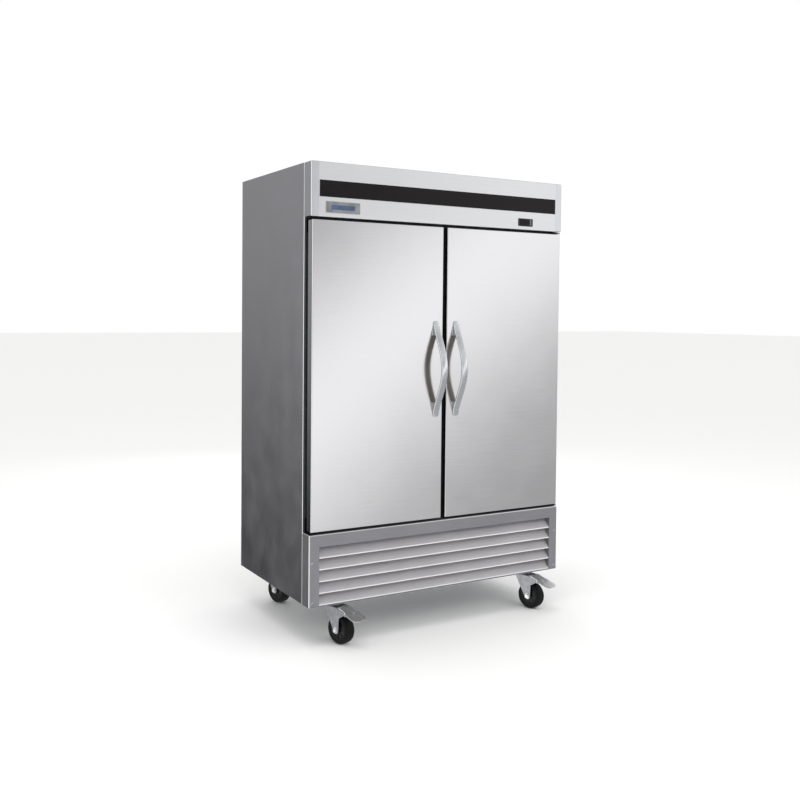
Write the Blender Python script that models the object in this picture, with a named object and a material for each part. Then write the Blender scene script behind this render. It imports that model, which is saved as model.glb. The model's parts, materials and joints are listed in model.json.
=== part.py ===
"""Two-door reach-in refrigerator with its refrigeration unit at the bottom, on four casters.

Metres, +Z up.  The origin is on the floor at the centre of the overall footprint, the doors
face -Y and +X is to the right of someone who stands in front of them.  The carcass is sheet
metal round a foamed shell; the doors, header and louvred panel stand on the carcass's front.
"""

import math

import bmesh
import bpy
from mathutils import Matrix, Vector

# ---------------------------------------------------------------- driving dimensions (metres)
CABINET_WIDTH = 1.370
CABINET_HEIGHT = 1.915
CARCASS_DEPTH = 0.720
GAP = 0.0003                   # between pieces that touch
SHEET = 0.0012                 # stainless sheet
BASE_SHEET = 0.0025
BASE_RAIL_HEIGHT = 0.040
SIDE_FLANGE = 0.014            # side panel's return along the carcass front
WALL_INSULATION = 0.055        # sides, top and back, skin to liner
FLOOR_INSULATION = 0.060
LINER_SHEET = 0.0008

LOUVER_PANEL_HEIGHT = 0.315    # above the underside of the cabinet
LOUVER_OPENING_WIDTH = 1.274
LOUVER_OPENING_TOP = 0.260
LOUVER_OPENING_BOTTOM = 0.004
SLAT_COUNT = 5
SLAT_SHEET = 0.0020
SLAT_DEPTH = 0.045             # how far back a slat's upper edge stands

HEADER_HEIGHT = 0.235
END_CAP_WIDTH = 0.036
STRIP_WIDTH = 1.290
STRIP_HEIGHT = 0.071
STRIP_ABOVE_HEADER_BASE = 0.086
TRIM_THICKNESS = 0.0015
BADGE_WIDTH = 0.168
BADGE_HEIGHT = 0.050
BADGE_INSET = 0.068            # from the cabinet's side to the badge's edge
BADGE_ABOVE_HEADER_BASE = 0.018

CONTROL_WIDTH = 0.086
CONTROL_HEIGHT = 0.037
CONTROL_INSET = 0.180          # from the cabinet's side to the controller's edge
CONTROL_ABOVE_HEADER_BASE = 0.017
CONTROL_PROUD = 0.003
CONTROL_BODY_DEPTH = 0.045
CONTROL_LIP = 0.005            # bezel's overlap round its cut-out
BUTTON_SIZE = 0.007
BUTTON_PITCH = 0.0095
BUTTON_COUNT = 3
BUTTON_PROUD = 0.0010
BUTTON_TRAVEL = 0.0006
BUTTON_LENGTH = 0.0030

DOOR_GAP_MIDDLE = 0.023
DOOR_GAP_SIDE = 0.007          # door's edge to the cabinet's side
DOOR_GAP_BELOW = 0.011
DOOR_GAP_ABOVE = 0.012
DOOR_THICKNESS = 0.042
DOOR_SHEET = 0.0010
DOOR_LINER_SHEET = 0.0010
GASKET_DEPTH = 0.0135
DOOR_PLUG_DEPTH = 0.009        # raised middle of the inner panel
DOOR_PLUG_MARGIN = 0.003       # gasket to the raised middle
FRAME_DEPTH = 0.0145           # breaker frame on the carcass front
FRAME_INSET = 0.0020           # from the cabinet's side
OPENING_INSET = 0.065          # from the cabinet's side to the door opening
OPENING_ABOVE_PANEL = 0.065
OPENING_BELOW_HEADER = 0.055
MULLION_WIDTH = 0.092
GASKET_INSET = 0.014
GASKET_WIDTH = 0.018

HINGE_INSET = 0.013            # axis from the door's edge
HINGE_SETBACK = 0.014          # axis from the door's face
HINGE_PIN_RADIUS = 0.004
HINGE_PIN_LENGTH = 0.018
HINGE_PLATE = 0.004
HINGE_LEG_HEIGHT = 0.062
HINGE_LEG_THICKNESS = 0.0040
PIN_CLEARANCE = 0.0004

HANDLE_LENGTH = 0.440
HANDLE_REACH = 0.078           # door face to the crown of the bow
HANDLE_WIDTH = 0.032
HANDLE_STRAP = 0.0095
HANDLE_FOOT = 0.066            # length of each solid foot
HANDLE_TAIL = 0.0030           # thickness left at the ends
LEFT_HANDLE_INSET = 0.036      # from the left door's free edge to its handle's centre
RIGHT_HANDLE_INSET = 0.051
HANDLE_ABOVE_DOOR_BASE = 0.691 # door's lower edge to the handle's centre
HANDLE_STATIONS = 24
HANDLE_BEVEL = 0.0025

SHELF_COUNT = 3
SHELF_FIRST = 0.245            # interior floor to the lowest shelf
SHELF_PITCH = 0.330
SHELF_THICKNESS = 0.010
SHELF_CLEARANCE = 0.012        # to the wall beside and behind
SHELF_FRONT_CLEARANCE = 0.012
SHELF_CENTRE_GAP = 0.064       # between the two shelves of a level
SHELF_RIM = 0.012
SHELF_SLOTS_ACROSS = 8
SHELF_SLOTS_DEEP = 2
SHELF_BAR = 0.010

CASTER_SPACING = 1.060         # swivel to swivel, across
CASTER_FRONT_SETBACK = 0.048   # door face to the front swivels
CASTER_REAR_INSET = 0.070      # back of the cabinet to the rear swivels
CASTER_YAW = 15.0              # degrees; how the wheels happen to be turned
CASTER_TRAIL = 0.036
WHEEL_DIAMETER = 0.127
WHEEL_WIDTH = 0.050
WHEEL_SHOULDER = 0.006
WHEEL_HUB_RADIUS = 0.020
WHEEL_DISH = 0.005
AXLE_RADIUS = 0.006
AXLE_CLEARANCE = 0.0010
AXLE_HEAD_RADIUS = 0.010
AXLE_HEAD = 0.005
FORK_SHEET = 0.003
FORK_CLEARANCE = 0.005         # wheel's side to the fork
FORK_BACK = 0.034              # swivel to the fork's rear edge
FORK_BOSS_RADIUS = 0.016
FORK_HEADROOM = 0.036          # wheel to the top of the yoke
RACE_RADIUS = 0.026
RACE_HEIGHT = 0.014
RACE_CLEARANCE = 0.003         # race to the underside of the cabinet
STEM_RADIUS = 0.008
STEM_CLEARANCE = 0.0008
STEM_ENGAGEMENT = 0.011
EAR_LENGTH = 0.025             # pedal's pivot to the tip of a braked fork's ears
PEDAL_SHEET = 0.003
PEDAL_SLOPE = 18.0             # degrees below level, brake on
PEDAL_PIVOT_AHEAD = 0.024      # axle to the pedal's pivot, level
PEDAL_PIVOT_ABOVE = 0.023      # wheel's top to the pedal's pivot
PEDAL_BACK = 0.012             # pivot to the pedal's rear edge, along the slope
PEDAL_NECK = 0.034             # pivot to where the paddle widens
PEDAL_LENGTH = 0.108           # pivot to the pedal's tip, along the slope
PEDAL_WIDTH = 0.080
PEDAL_CORNER = 0.026
PEDAL_FLANGE = 0.010           # depth of its side flanges, also how far the plate is above the pivot
PEDAL_CLEARANCE = 0.0010

CONDENSER_WIDTH = 0.400
CONDENSER_THICKNESS = 0.060
CONDENSER_HEIGHT = 0.255
CONDENSER_CENTRE = -0.330      # left of the cabinet's middle
CONDENSER_SETBACK = 0.045      # carcass front to the coil
SHROUD_DEPTH = 0.030
FAN_HOLE_RADIUS = 0.098
FAN_RADIUS = 0.092
FAN_HUB_RADIUS = 0.024
FAN_BLADES = 5
FAN_CHORD = 0.046
FAN_SHEET = 0.0020
FAN_PITCH = 26.0
MOTOR_RADIUS = 0.038
MOTOR_LENGTH = 0.060
SHAFT_RADIUS = 0.0035
COMPRESSOR_RADIUS = 0.085
COMPRESSOR_HEIGHT = 0.205
COMPRESSOR_PLACE = (0.070, 0.330)   # right of the middle, behind the carcass front
DRAIN_PAN_SIZE = (0.320, 0.260, 0.055)
DRAIN_PAN_PLACE = (0.420, 0.210)
ELECTRIC_BOX_SIZE = (0.220, 0.120, 0.140)
ELECTRIC_BOX_INSET = 0.090     # from the cabinet's side
GLAND_RADIUS = 0.014
GLAND_WINDOW = 0.036           # half width of the window round the gland

EVAPORATOR_WIDTH = 0.720
EVAPORATOR_DEPTH = 0.330
EVAPORATOR_HEIGHT = 0.150
EVAPORATOR_BACK_GAP = 0.012
EVAPORATOR_FAN_RADIUS = 0.058
EVAPORATOR_HOLE_RADIUS = 0.062
EVAPORATOR_HUB_RADIUS = 0.017
EVAPORATOR_MOTOR_RADIUS = 0.024
EVAPORATOR_MOTOR_LENGTH = 0.040
LIGHT_LENGTH = 0.500
LIGHT_DEPTH = 0.032
LIGHT_HEIGHT = 0.022
LIGHT_SETBACK = 0.060

VENT_SLOTS = 6
VENT_COLUMNS = 3
VENT_SLOT_HEIGHT = 0.009
VENT_SLOT_PITCH = 0.030
VENT_SLOT_WIDTH = 0.180
VENT_COLUMN_PITCH = 0.230
VENT_CENTRE = -0.250
VENT_BASE = 0.080              # cabinet's underside to the lowest slot

# ---------------------------------------------------------------- places worked out from them
HALF_WIDTH = CABINET_WIDTH / 2
FRONT_DEPTH = DOOR_THICKNESS + GASKET_DEPTH + FRAME_DEPTH
FORK_TOP = WHEEL_DIAMETER + FORK_HEADROOM
CASTER_HEIGHT = FORK_TOP + RACE_HEIGHT + RACE_CLEARANCE
PEDAL_PIVOT_REACH = CASTER_TRAIL + PEDAL_PIVOT_AHEAD
PEDAL_PIVOT_HEIGHT = WHEEL_DIAMETER + PEDAL_PIVOT_ABOVE
EAR_REACH = PEDAL_PIVOT_REACH + EAR_LENGTH
BASE_Z = CASTER_HEIGHT
TOP_Z = BASE_Z + CABINET_HEIGHT
PANEL_TOP_Z = BASE_Z + LOUVER_PANEL_HEIGHT
HEADER_Z = TOP_Z - HEADER_HEIGHT


def turned_round(point, degrees):
    """A plan-view point turned about the vertical."""
    angle = math.radians(degrees)
    x, y = point
    return (x * math.cos(angle) - y * math.sin(angle), x * math.sin(angle) + y * math.cos(angle))


def arc(centre, radius, start, end, steps):
    """Points on an arc, in degrees, both ends included."""
    points = []
    for i in range(steps + 1):
        angle = math.radians(start + (end - start) * i / steps)
        points.append((centre[0] + radius * math.cos(angle), centre[1] + radius * math.sin(angle)))
    return points


FORK_INNER = WHEEL_WIDTH / 2 + FORK_CLEARANCE
FORK_OUTER = FORK_INNER + FORK_SHEET
PEDAL_NECK_HALF = FORK_INNER - PEDAL_CLEARANCE


def pedal_outline():
    """Half-symmetric plan of the brake pedal, pivot at (0, 0), tip towards -Y."""
    tip = -PEDAL_LENGTH
    half = PEDAL_WIDTH / 2
    right = arc((half - PEDAL_CORNER, tip + PEDAL_CORNER), PEDAL_CORNER, -90, 0, 5)
    right += [(half, -PEDAL_NECK - (half - PEDAL_NECK_HALF))]
    right += [(PEDAL_NECK_HALF, -PEDAL_NECK), (PEDAL_NECK_HALF, PEDAL_BACK)]
    left = [(-x, y) for x, y in reversed(right)]
    return right + left


def pedal_reach():
    """How far the pedal's tip stands ahead of its swivel once the caster is turned."""
    slope = math.radians(PEDAL_SLOPE)
    reach = 0.0
    for x, y in pedal_outline():
        for height in (PEDAL_FLANGE, PEDAL_FLANGE + PEDAL_SHEET):
            level = y * math.cos(slope) - height * math.sin(slope) - PEDAL_PIVOT_REACH
            reach = max(reach, -turned_round((x, level), CASTER_YAW)[1])
    return reach


FRONT_REACH = max(HANDLE_REACH + GAP, pedal_reach() - CASTER_FRONT_SETBACK)
TOTAL_DEPTH = FRONT_REACH + FRONT_DEPTH + CARCASS_DEPTH
FACE_Y = FRONT_REACH - TOTAL_DEPTH / 2
CARCASS_Y = FACE_Y + FRONT_DEPTH
BACK_Y = CARCASS_Y + CARCASS_DEPTH
FRAME_FRONT_Y = CARCASS_Y - FRAME_DEPTH

OPENING_BASE_Z = PANEL_TOP_Z + OPENING_ABOVE_PANEL
OPENING_TOP_Z = HEADER_Z - OPENING_BELOW_HEADER
OPENING_OUTER_X = HALF_WIDTH - OPENING_INSET
CAVITY_X = HALF_WIDTH - WALL_INSULATION
CAVITY_BACK_Y = BACK_Y - WALL_INSULATION
CAVITY_FLOOR_Z = PANEL_TOP_Z + FLOOR_INSULATION
CAVITY_TOP_Z = TOP_Z - WALL_INSULATION
LINER_OFFSET = GAP + LINER_SHEET
ROOM_X = CAVITY_X - LINER_OFFSET
ROOM_BACK_Y = CAVITY_BACK_Y - LINER_OFFSET
ROOM_FLOOR_Z = CAVITY_FLOOR_Z + LINER_OFFSET
ROOM_TOP_Z = CAVITY_TOP_Z - LINER_OFFSET

DOOR_BASE_Z = PANEL_TOP_Z + DOOR_GAP_BELOW
DOOR_TOP_Z = HEADER_Z - DOOR_GAP_ABOVE
DOOR_OUTER_X = HALF_WIDTH - DOOR_GAP_SIDE
DOOR_INNER_X = DOOR_GAP_MIDDLE / 2
DOOR_BACK_Y = FACE_Y + DOOR_THICKNESS
HINGE_X = DOOR_OUTER_X - HINGE_INSET
HINGE_Y = FACE_Y + HINGE_SETBACK

FINISHES = {
    # name: (red, green, blue, roughness, metallic)
    "stainless": (0.62, 0.61, 0.60, 0.30, 1.0),
    "coated_steel": (0.20, 0.20, 0.21, 0.45, 0.6),
    "galvanised": (0.42, 0.43, 0.44, 0.50, 1.0),
    "aluminium": (0.68, 0.69, 0.70, 0.38, 1.0),
    "satin_zinc": (0.50, 0.50, 0.51, 0.34, 1.0),
    "black_gloss": (0.012, 0.010, 0.010, 0.18, 0.0),
    "black_plastic": (0.020, 0.020, 0.021, 0.45, 0.0),
    "grey_plastic": (0.30, 0.31, 0.32, 0.50, 0.0),
    "white_plastic": (0.80, 0.81, 0.80, 0.40, 0.0),
    "vinyl_gasket": (0.030, 0.030, 0.031, 0.60, 0.0),
    "foam": (0.80, 0.66, 0.38, 0.90, 0.0),
    "caster_tread": (0.014, 0.014, 0.014, 0.55, 0.0),
    "compressor_enamel": (0.010, 0.010, 0.011, 0.35, 0.0),
    "badge_enamel": (0.10, 0.13, 0.20, 0.35, 0.4),
    "coated_wire": (0.75, 0.76, 0.76, 0.35, 0.0),
}


# ---------------------------------------------------------------- tools
def clear_scene():
    for obj in list(bpy.data.objects):
        bpy.data.objects.remove(obj, do_unlink=True)


def finish_material(name, finish):
    red, green, blue, roughness, metallic = FINISHES[finish]
    material = bpy.data.materials.new(f"{name}_{finish}")
    material.use_nodes = True
    shader = material.node_tree.nodes["Principled BSDF"]
    shader.inputs["Base Color"].default_value = (red, green, blue, 1.0)
    shader.inputs["Roughness"].default_value = roughness
    shader.inputs["Metallic"].default_value = metallic
    material.diffuse_color = (red, green, blue, 1.0)
    return material


def empty_at(name, place, yaw=0.0):
    """An empty that carries a moving group."""
    empty = bpy.data.objects.new(name, None)
    empty.location = place
    empty.rotation_euler = (0.0, 0.0, math.radians(yaw))
    bpy.context.scene.collection.objects.link(empty)
    return empty


def add_object(name, bm, pivot=(0, 0, 0), parent=None):
    """Link a mesh whose points are in its parent's space; its origin goes to the pivot."""
    pivot = Vector(pivot)
    bmesh.ops.recalc_face_normals(bm, faces=bm.faces)
    bmesh.ops.translate(bm, verts=bm.verts, vec=-pivot)
    mesh = bpy.data.meshes.new(name)
    bm.to_mesh(mesh)
    bm.free()
    obj = bpy.data.objects.new(name, mesh)
    obj.location = pivot
    obj.parent = parent
    bpy.context.scene.collection.objects.link(obj)
    return obj


def part(name, bm, finish, pivot=(0, 0, 0), parent=None, smooth=False):
    obj = add_object(name, bm, pivot, parent)
    obj.data.materials.append(finish_material(name, finish))
    if smooth:
        obj.data.shade_smooth()
        obj.data.set_sharp_from_angle(angle=math.radians(35))
    return obj


def combine(obj, bm, operation):
    """Cut or join another shape, given in the same space as the object's points were."""
    tool = add_object(f"{obj.name}_{operation.lower()}_{len(obj.modifiers)}", bm, obj.location, obj.parent)
    tool.hide_render = True
    tool.display_type = "WIRE"
    boolean = obj.modifiers.new(operation.lower(), "BOOLEAN")
    boolean.operation = operation
    boolean.solver = "EXACT"
    boolean.object = tool


def cut(obj, bm):
    combine(obj, bm, "DIFFERENCE")


def join(obj, bm):
    combine(obj, bm, "UNION")


def bevel(obj, width, segments=2):
    modifier = obj.modifiers.new("bevel", "BEVEL")
    modifier.width = width
    modifier.segments = segments
    modifier.limit_method = "ANGLE"
    modifier.angle_limit = math.radians(40)


def box(corner, opposite):
    """A block between two corners, in any order."""
    low = [min(a, b) for a, b in zip(corner, opposite)]
    high = [max(a, b) for a, b in zip(corner, opposite)]
    size = [b - a for a, b in zip(low, high)]
    middle = [(a + b) / 2 for a, b in zip(low, high)]
    bm = bmesh.new()
    bmesh.ops.create_cube(bm, size=1.0, matrix=Matrix.Translation(middle) @ Matrix.Diagonal((*size, 1.0)))
    return bm


def hollow_box(low, high, cavity_low, cavity_high, open_axis, open_side):
    """A block with a box-shaped cavity that is open on one side (open_side is 0 or 1)."""
    bm = bmesh.new()

    def corners(a, b):
        return {
            (i, j, k): bm.verts.new(((a, b)[i][0], (a, b)[j][1], (a, b)[k][2]))
            for i in (0, 1) for j in (0, 1) for k in (0, 1)
        }

    outer = corners(low, high)
    inner = corners(cavity_low, cavity_high)
    for axis in range(3):
        first, second = [other for other in range(3) if other != axis]
        for side in (0, 1):
            ring = []
            for a, b in ((0, 0), (1, 0), (1, 1), (0, 1)):
                key = [0, 0, 0]
                key[axis], key[first], key[second] = side, a, b
                ring.append(tuple(key))
            if axis == open_axis and side == open_side:
                for here, there in zip(ring, ring[1:] + ring[:1]):
                    bm.faces.new((outer[here], outer[there], inner[there], inner[here]))
            else:
                bm.faces.new([outer[key] for key in ring])
                bm.faces.new([inner[key] for key in ring])
    return bm


def extruded(outline, axis, start, end):
    """A closed outline swept along an axis.  The outline gives the other two axes in X, Y, Z order."""
    bm = bmesh.new()
    first, second = [other for other in range(3) if other != axis]
    ring = []
    for a, b in outline:
        place = [0.0, 0.0, 0.0]
        place[axis], place[first], place[second] = start, a, b
        ring.append(bm.verts.new(place))
    face = bm.faces.new(ring)
    swept = bmesh.ops.extrude_face_region(bm, geom=[face])
    shift = Vector((0, 0, 0))
    shift[axis] = end - start
    moved = [item for item in swept["geom"] if isinstance(item, bmesh.types.BMVert)]
    bmesh.ops.translate(bm, verts=moved, vec=shift)
    return bm


def turned(profile, axis, centre, segments):
    """A closed profile of (radius, distance along the axis) spun about an axis through centre."""
    bm = bmesh.new()
    side = (axis + 1) % 3
    ring = []
    for radius, along in profile:
        place = list(centre)
        place[side] += radius
        place[axis] += along
        ring.append(bm.verts.new(place))
    edges = [bm.edges.new((a, b)) for a, b in zip(ring, ring[1:] + ring[:1])]
    direction = Vector((0, 0, 0))
    direction[axis] = 1.0
    bmesh.ops.spin(
        bm, geom=ring + edges, cent=centre, axis=direction, angle=math.tau, steps=segments,
        use_merge=True, use_duplicate=False,
    )
    bmesh.ops.remove_doubles(bm, verts=bm.verts, dist=0.00001)
    return bm


def cylinder(centre, radius, start, end, axis, segments=24):
    """A plain round bar; centre gives where its axis passes, start and end where it runs."""
    bm = bmesh.new()
    turn = (Matrix.Rotation(math.radians(90), 4, "Y"), Matrix.Rotation(math.radians(90), 4, "X"),
            Matrix.Identity(4))[axis]
    middle = Vector(centre)
    middle[axis] = (start + end) / 2
    bmesh.ops.create_cone(
        bm, cap_ends=True, segments=segments, radius1=radius, radius2=radius, depth=abs(end - start),
        matrix=Matrix.Translation(middle) @ turn,
    )
    return bm


# ---------------------------------------------------------------- carcass
def side_panel(name, side):
    """Outer side skin with a short return along the carcass front."""
    outline = [
        (side * HALF_WIDTH, CARCASS_Y), (side * HALF_WIDTH, BACK_Y),
        (side * (HALF_WIDTH - SHEET), BACK_Y), (side * (HALF_WIDTH - SHEET), CARCASS_Y + SHEET),
        (side * (HALF_WIDTH - SIDE_FLANGE), CARCASS_Y + SHEET),
        (side * (HALF_WIDTH - SIDE_FLANGE), CARCASS_Y),
    ]
    part(name, extruded(outline, 2, BASE_Z, TOP_Z), "coated_steel")


def back_panel():
    """Back skin; its lower part has vent slots and a window for the supply cord's gland."""
    inside = HALF_WIDTH - SHEET - GAP
    panel = part("back_panel", box((-inside, BACK_Y - SHEET, BASE_Z), (inside, BACK_Y, TOP_Z)), "galvanised")
    for column in range(VENT_COLUMNS):
        centre = VENT_CENTRE + (column - (VENT_COLUMNS - 1) / 2) * VENT_COLUMN_PITCH
        for row in range(VENT_SLOTS):
            low = BASE_Z + VENT_BASE + row * VENT_SLOT_PITCH
            cut(panel, box(
                (centre - VENT_SLOT_WIDTH / 2, BACK_Y - 2 * SHEET, low),
                (centre + VENT_SLOT_WIDTH / 2, BACK_Y + SHEET, low + VENT_SLOT_HEIGHT)))
    x, z = gland_place()
    cut(panel, box((x - GLAND_WINDOW, BACK_Y - 2 * SHEET, z - GLAND_WINDOW),
                   (x + GLAND_WINDOW, BACK_Y + SHEET, z + GLAND_WINDOW)))


def top_panel():
    inside = HALF_WIDTH - SHEET - GAP
    front = FRAME_FRONT_Y
    cap_inside = HALF_WIDTH - END_CAP_WIDTH
    outline = [
        (-inside, CARCASS_Y + SHEET + GAP), (-cap_inside, CARCASS_Y + SHEET + GAP), (-cap_inside, front),
        (cap_inside, front), (cap_inside, CARCASS_Y + SHEET + GAP), (inside, CARCASS_Y + SHEET + GAP),
        (inside, BACK_Y - SHEET - GAP), (-inside, BACK_Y - SHEET - GAP),
    ]
    part("top_panel", extruded(outline, 2, TOP_Z - SHEET, TOP_Z), "galvanised")


def cabinet_insulation():
    """Foamed shell, open towards the doors."""
    skin = SHEET + GAP
    low = (-HALF_WIDTH + skin, CARCASS_Y + skin, PANEL_TOP_Z)
    high = (HALF_WIDTH - skin, BACK_Y - skin, TOP_Z - skin)
    cavity_low = (-CAVITY_X, CARCASS_Y + skin, CAVITY_FLOOR_Z)
    cavity_high = (CAVITY_X, CAVITY_BACK_Y, CAVITY_TOP_Z)
    part("cabinet_insulation", hollow_box(low, high, cavity_low, cavity_high, 1, 0), "foam")


def interior_liner():
    low = (-CAVITY_X + GAP, CARCASS_Y + SHEET + GAP, CAVITY_FLOOR_Z + GAP)
    high = (CAVITY_X - GAP, CAVITY_BACK_Y - GAP, CAVITY_TOP_Z - GAP)
    room_low = (-ROOM_X, CARCASS_Y + SHEET + GAP, ROOM_FLOOR_Z)
    room_high = (ROOM_X, ROOM_BACK_Y, ROOM_TOP_Z)
    part("interior_liner", hollow_box(low, high, room_low, room_high, 1, 0), "aluminium")


def breaker_frame():
    """Frame round the two door openings with the mullion between them; it also closes the
    carcass behind the header."""
    wide = HALF_WIDTH - FRAME_INSET
    narrow = HALF_WIDTH - END_CAP_WIDTH
    top = TOP_Z - SHEET - GAP
    outline = [
        (-wide, PANEL_TOP_Z + GAP), (wide, PANEL_TOP_Z + GAP),
        (wide, HEADER_Z - GAP), (narrow, HEADER_Z - GAP), (narrow, top),
        (-narrow, top), (-narrow, HEADER_Z - GAP), (-wide, HEADER_Z - GAP),
    ]
    frame = part("breaker_frame", extruded(outline, 1, FRAME_FRONT_Y, CARCASS_Y - GAP), "black_plastic")
    post = MULLION_WIDTH / 2
    for side in (-1, 1):
        cut(frame, box((side * post, FRAME_FRONT_Y - FRAME_DEPTH, OPENING_BASE_Z),
                       (side * OPENING_OUTER_X, CARCASS_Y + FRAME_DEPTH, OPENING_TOP_Z)))
    # folded sheet: every bar is a channel that is open to the back
    bars = [
        ((-wide, PANEL_TOP_Z + GAP), (wide, OPENING_BASE_Z)),
        ((-post, OPENING_BASE_Z), (post, OPENING_TOP_Z)),
        ((-wide, OPENING_BASE_Z), (-OPENING_OUTER_X, OPENING_TOP_Z)),
        ((OPENING_OUTER_X, OPENING_BASE_Z), (wide, OPENING_TOP_Z)),
        ((-narrow, OPENING_TOP_Z), (narrow, top)),
    ]
    for (x0, z0), (x1, z1) in bars:
        cut(frame, box((x0 + SHEET, FRAME_FRONT_Y + SHEET, z0 + SHEET),
                       (x1 - SHEET, CARCASS_Y + SHEET, z1 - SHEET)))


def swivel_places():
    """Swivel axes by name: (x, y, has a brake)."""
    front = FACE_Y + CASTER_FRONT_SETBACK
    rear = BACK_Y - CASTER_REAR_INSET
    half = CASTER_SPACING / 2
    return {
        "front_left": (-half, front, True), "front_right": (half, front, True),
        "rear_left": (-half, rear, False), "rear_right": (half, rear, False),
    }


def base_frame():
    """Chassis tray under the whole cabinet, with the four caster stems."""
    side = HALF_WIDTH - SHEET - GAP
    tongue = HALF_WIDTH - SIDE_FLANGE - GAP
    front, shoulder, back = FACE_Y + SHEET + GAP, CARCASS_Y + SHEET + GAP, BACK_Y - SHEET - GAP
    outline = [(-tongue, front), (tongue, front), (tongue, shoulder), (side, shoulder), (side, back),
               (-side, back), (-side, shoulder), (-tongue, shoulder)]
    base = part("base_frame", extruded(outline, 2, BASE_Z, BASE_Z + BASE_SHEET), "galvanised")
    rail_top = BASE_Z + BASE_RAIL_HEIGHT
    for hand in (-1, 1):
        join(base, box((hand * (side - GAP), shoulder + GAP, BASE_Z + BASE_SHEET / 2),
                       (hand * (side - BASE_SHEET), back - GAP, rail_top)))
    for x, y, _ in swivel_places().values():
        join(base, cylinder((x, y, 0), STEM_RADIUS, BASE_Z - STEM_ENGAGEMENT,
                            BASE_Z + BASE_SHEET / 2, 2, 16))


# ---------------------------------------------------------------- header
def header_panel():
    """Folded channel across the top, with the controller's cut-out."""
    half = HALF_WIDTH - END_CAP_WIDTH - GAP
    low_z = HEADER_Z
    back = FRAME_FRONT_Y - GAP
    outline = [
        (FACE_Y, low_z), (back, low_z), (back, low_z + SHEET), (FACE_Y + SHEET, low_z + SHEET),
        (FACE_Y + SHEET, TOP_Z - SHEET), (back, TOP_Z - SHEET), (back, TOP_Z), (FACE_Y, TOP_Z),
    ]
    panel = part("header_panel", extruded(outline, 0, -half, half), "stainless")
    x, z = control_place()
    half_w = CONTROL_WIDTH / 2 - CONTROL_LIP + GAP
    half_h = CONTROL_HEIGHT / 2 - CONTROL_LIP + GAP
    cut(panel, box((x - half_w, FACE_Y - SHEET, z - half_h), (x + half_w, FACE_Y + 2 * SHEET, z + half_h)))


def header_end_cap(name, side):
    inner = HALF_WIDTH - END_CAP_WIDTH
    xs = sorted((side * inner, side * HALF_WIDTH))
    wall = SHEET
    low = (xs[0], FACE_Y, HEADER_Z)
    high = (xs[1], CARCASS_Y - GAP, TOP_Z)
    cavity_low = (xs[0] + wall, FACE_Y + wall, HEADER_Z + wall)
    cavity_high = (xs[1] - wall, CARCASS_Y - GAP, TOP_Z - wall)
    part(name, hollow_box(low, high, cavity_low, cavity_high, 1, 1), "stainless")


def header_strip():
    low = HEADER_Z + STRIP_ABOVE_HEADER_BASE
    strip = box((-STRIP_WIDTH / 2, FACE_Y - GAP, low),
                (STRIP_WIDTH / 2, FACE_Y - GAP - TRIM_THICKNESS, low + STRIP_HEIGHT))
    part("header_strip", strip, "black_gloss")


def badge_plate():
    """Plain badge with no lettering."""
    left = -HALF_WIDTH + BADGE_INSET
    low = HEADER_Z + BADGE_ABOVE_HEADER_BASE
    badge = part("badge_plate", box((left, FACE_Y - GAP, low),
                                    (left + BADGE_WIDTH, FACE_Y - GAP - TRIM_THICKNESS, low + BADGE_HEIGHT)),
                 "badge_enamel")
    bevel(badge, TRIM_THICKNESS / 4, 1)


def control_place():
    x = HALF_WIDTH - CONTROL_INSET - CONTROL_WIDTH / 2
    z = HEADER_Z + CONTROL_ABOVE_HEADER_BASE + CONTROL_HEIGHT / 2
    return x, z


def button_places():
    """Centres of the buttons: a column at the right of the bezel."""
    x, z = control_place()
    x += CONTROL_WIDTH / 2 - 2 * BUTTON_SIZE
    for i in range(BUTTON_COUNT):
        yield i + 1, x, z + (i - (BUTTON_COUNT - 1) / 2) * BUTTON_PITCH


def controller():
    """Digital thermostat: bezel ahead of the header, body behind it, wells for the buttons."""
    x, z = control_place()
    face = FACE_Y - GAP - CONTROL_PROUD
    half_w, half_h = CONTROL_WIDTH / 2, CONTROL_HEIGHT / 2
    bezel = box((x - half_w, face, z - half_h), (x + half_w, FACE_Y - GAP, z + half_h))
    body = part("controller_body", bezel, "black_plastic")
    join(body, box((x - half_w + CONTROL_LIP, face + CONTROL_PROUD / 2, z - half_h + CONTROL_LIP),
                   (x + half_w - CONTROL_LIP, face + CONTROL_BODY_DEPTH, z + half_h - CONTROL_LIP)))
    well = BUTTON_SIZE / 2 + GAP
    floor = face + BUTTON_LENGTH - BUTTON_PROUD + BUTTON_TRAVEL + GAP
    for number, bx, bz in button_places():
        cut(body, box((bx - well, face - BUTTON_PROUD, bz - well), (bx + well, floor, bz + well)))
        half = BUTTON_SIZE / 2
        part(f"controller_button_{number}",
             box((bx - half, face - BUTTON_PROUD, bz - half),
                 (bx + half, face - BUTTON_PROUD + BUTTON_LENGTH, bz + half)),
             "grey_plastic", pivot=(bx, face, bz))


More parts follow.
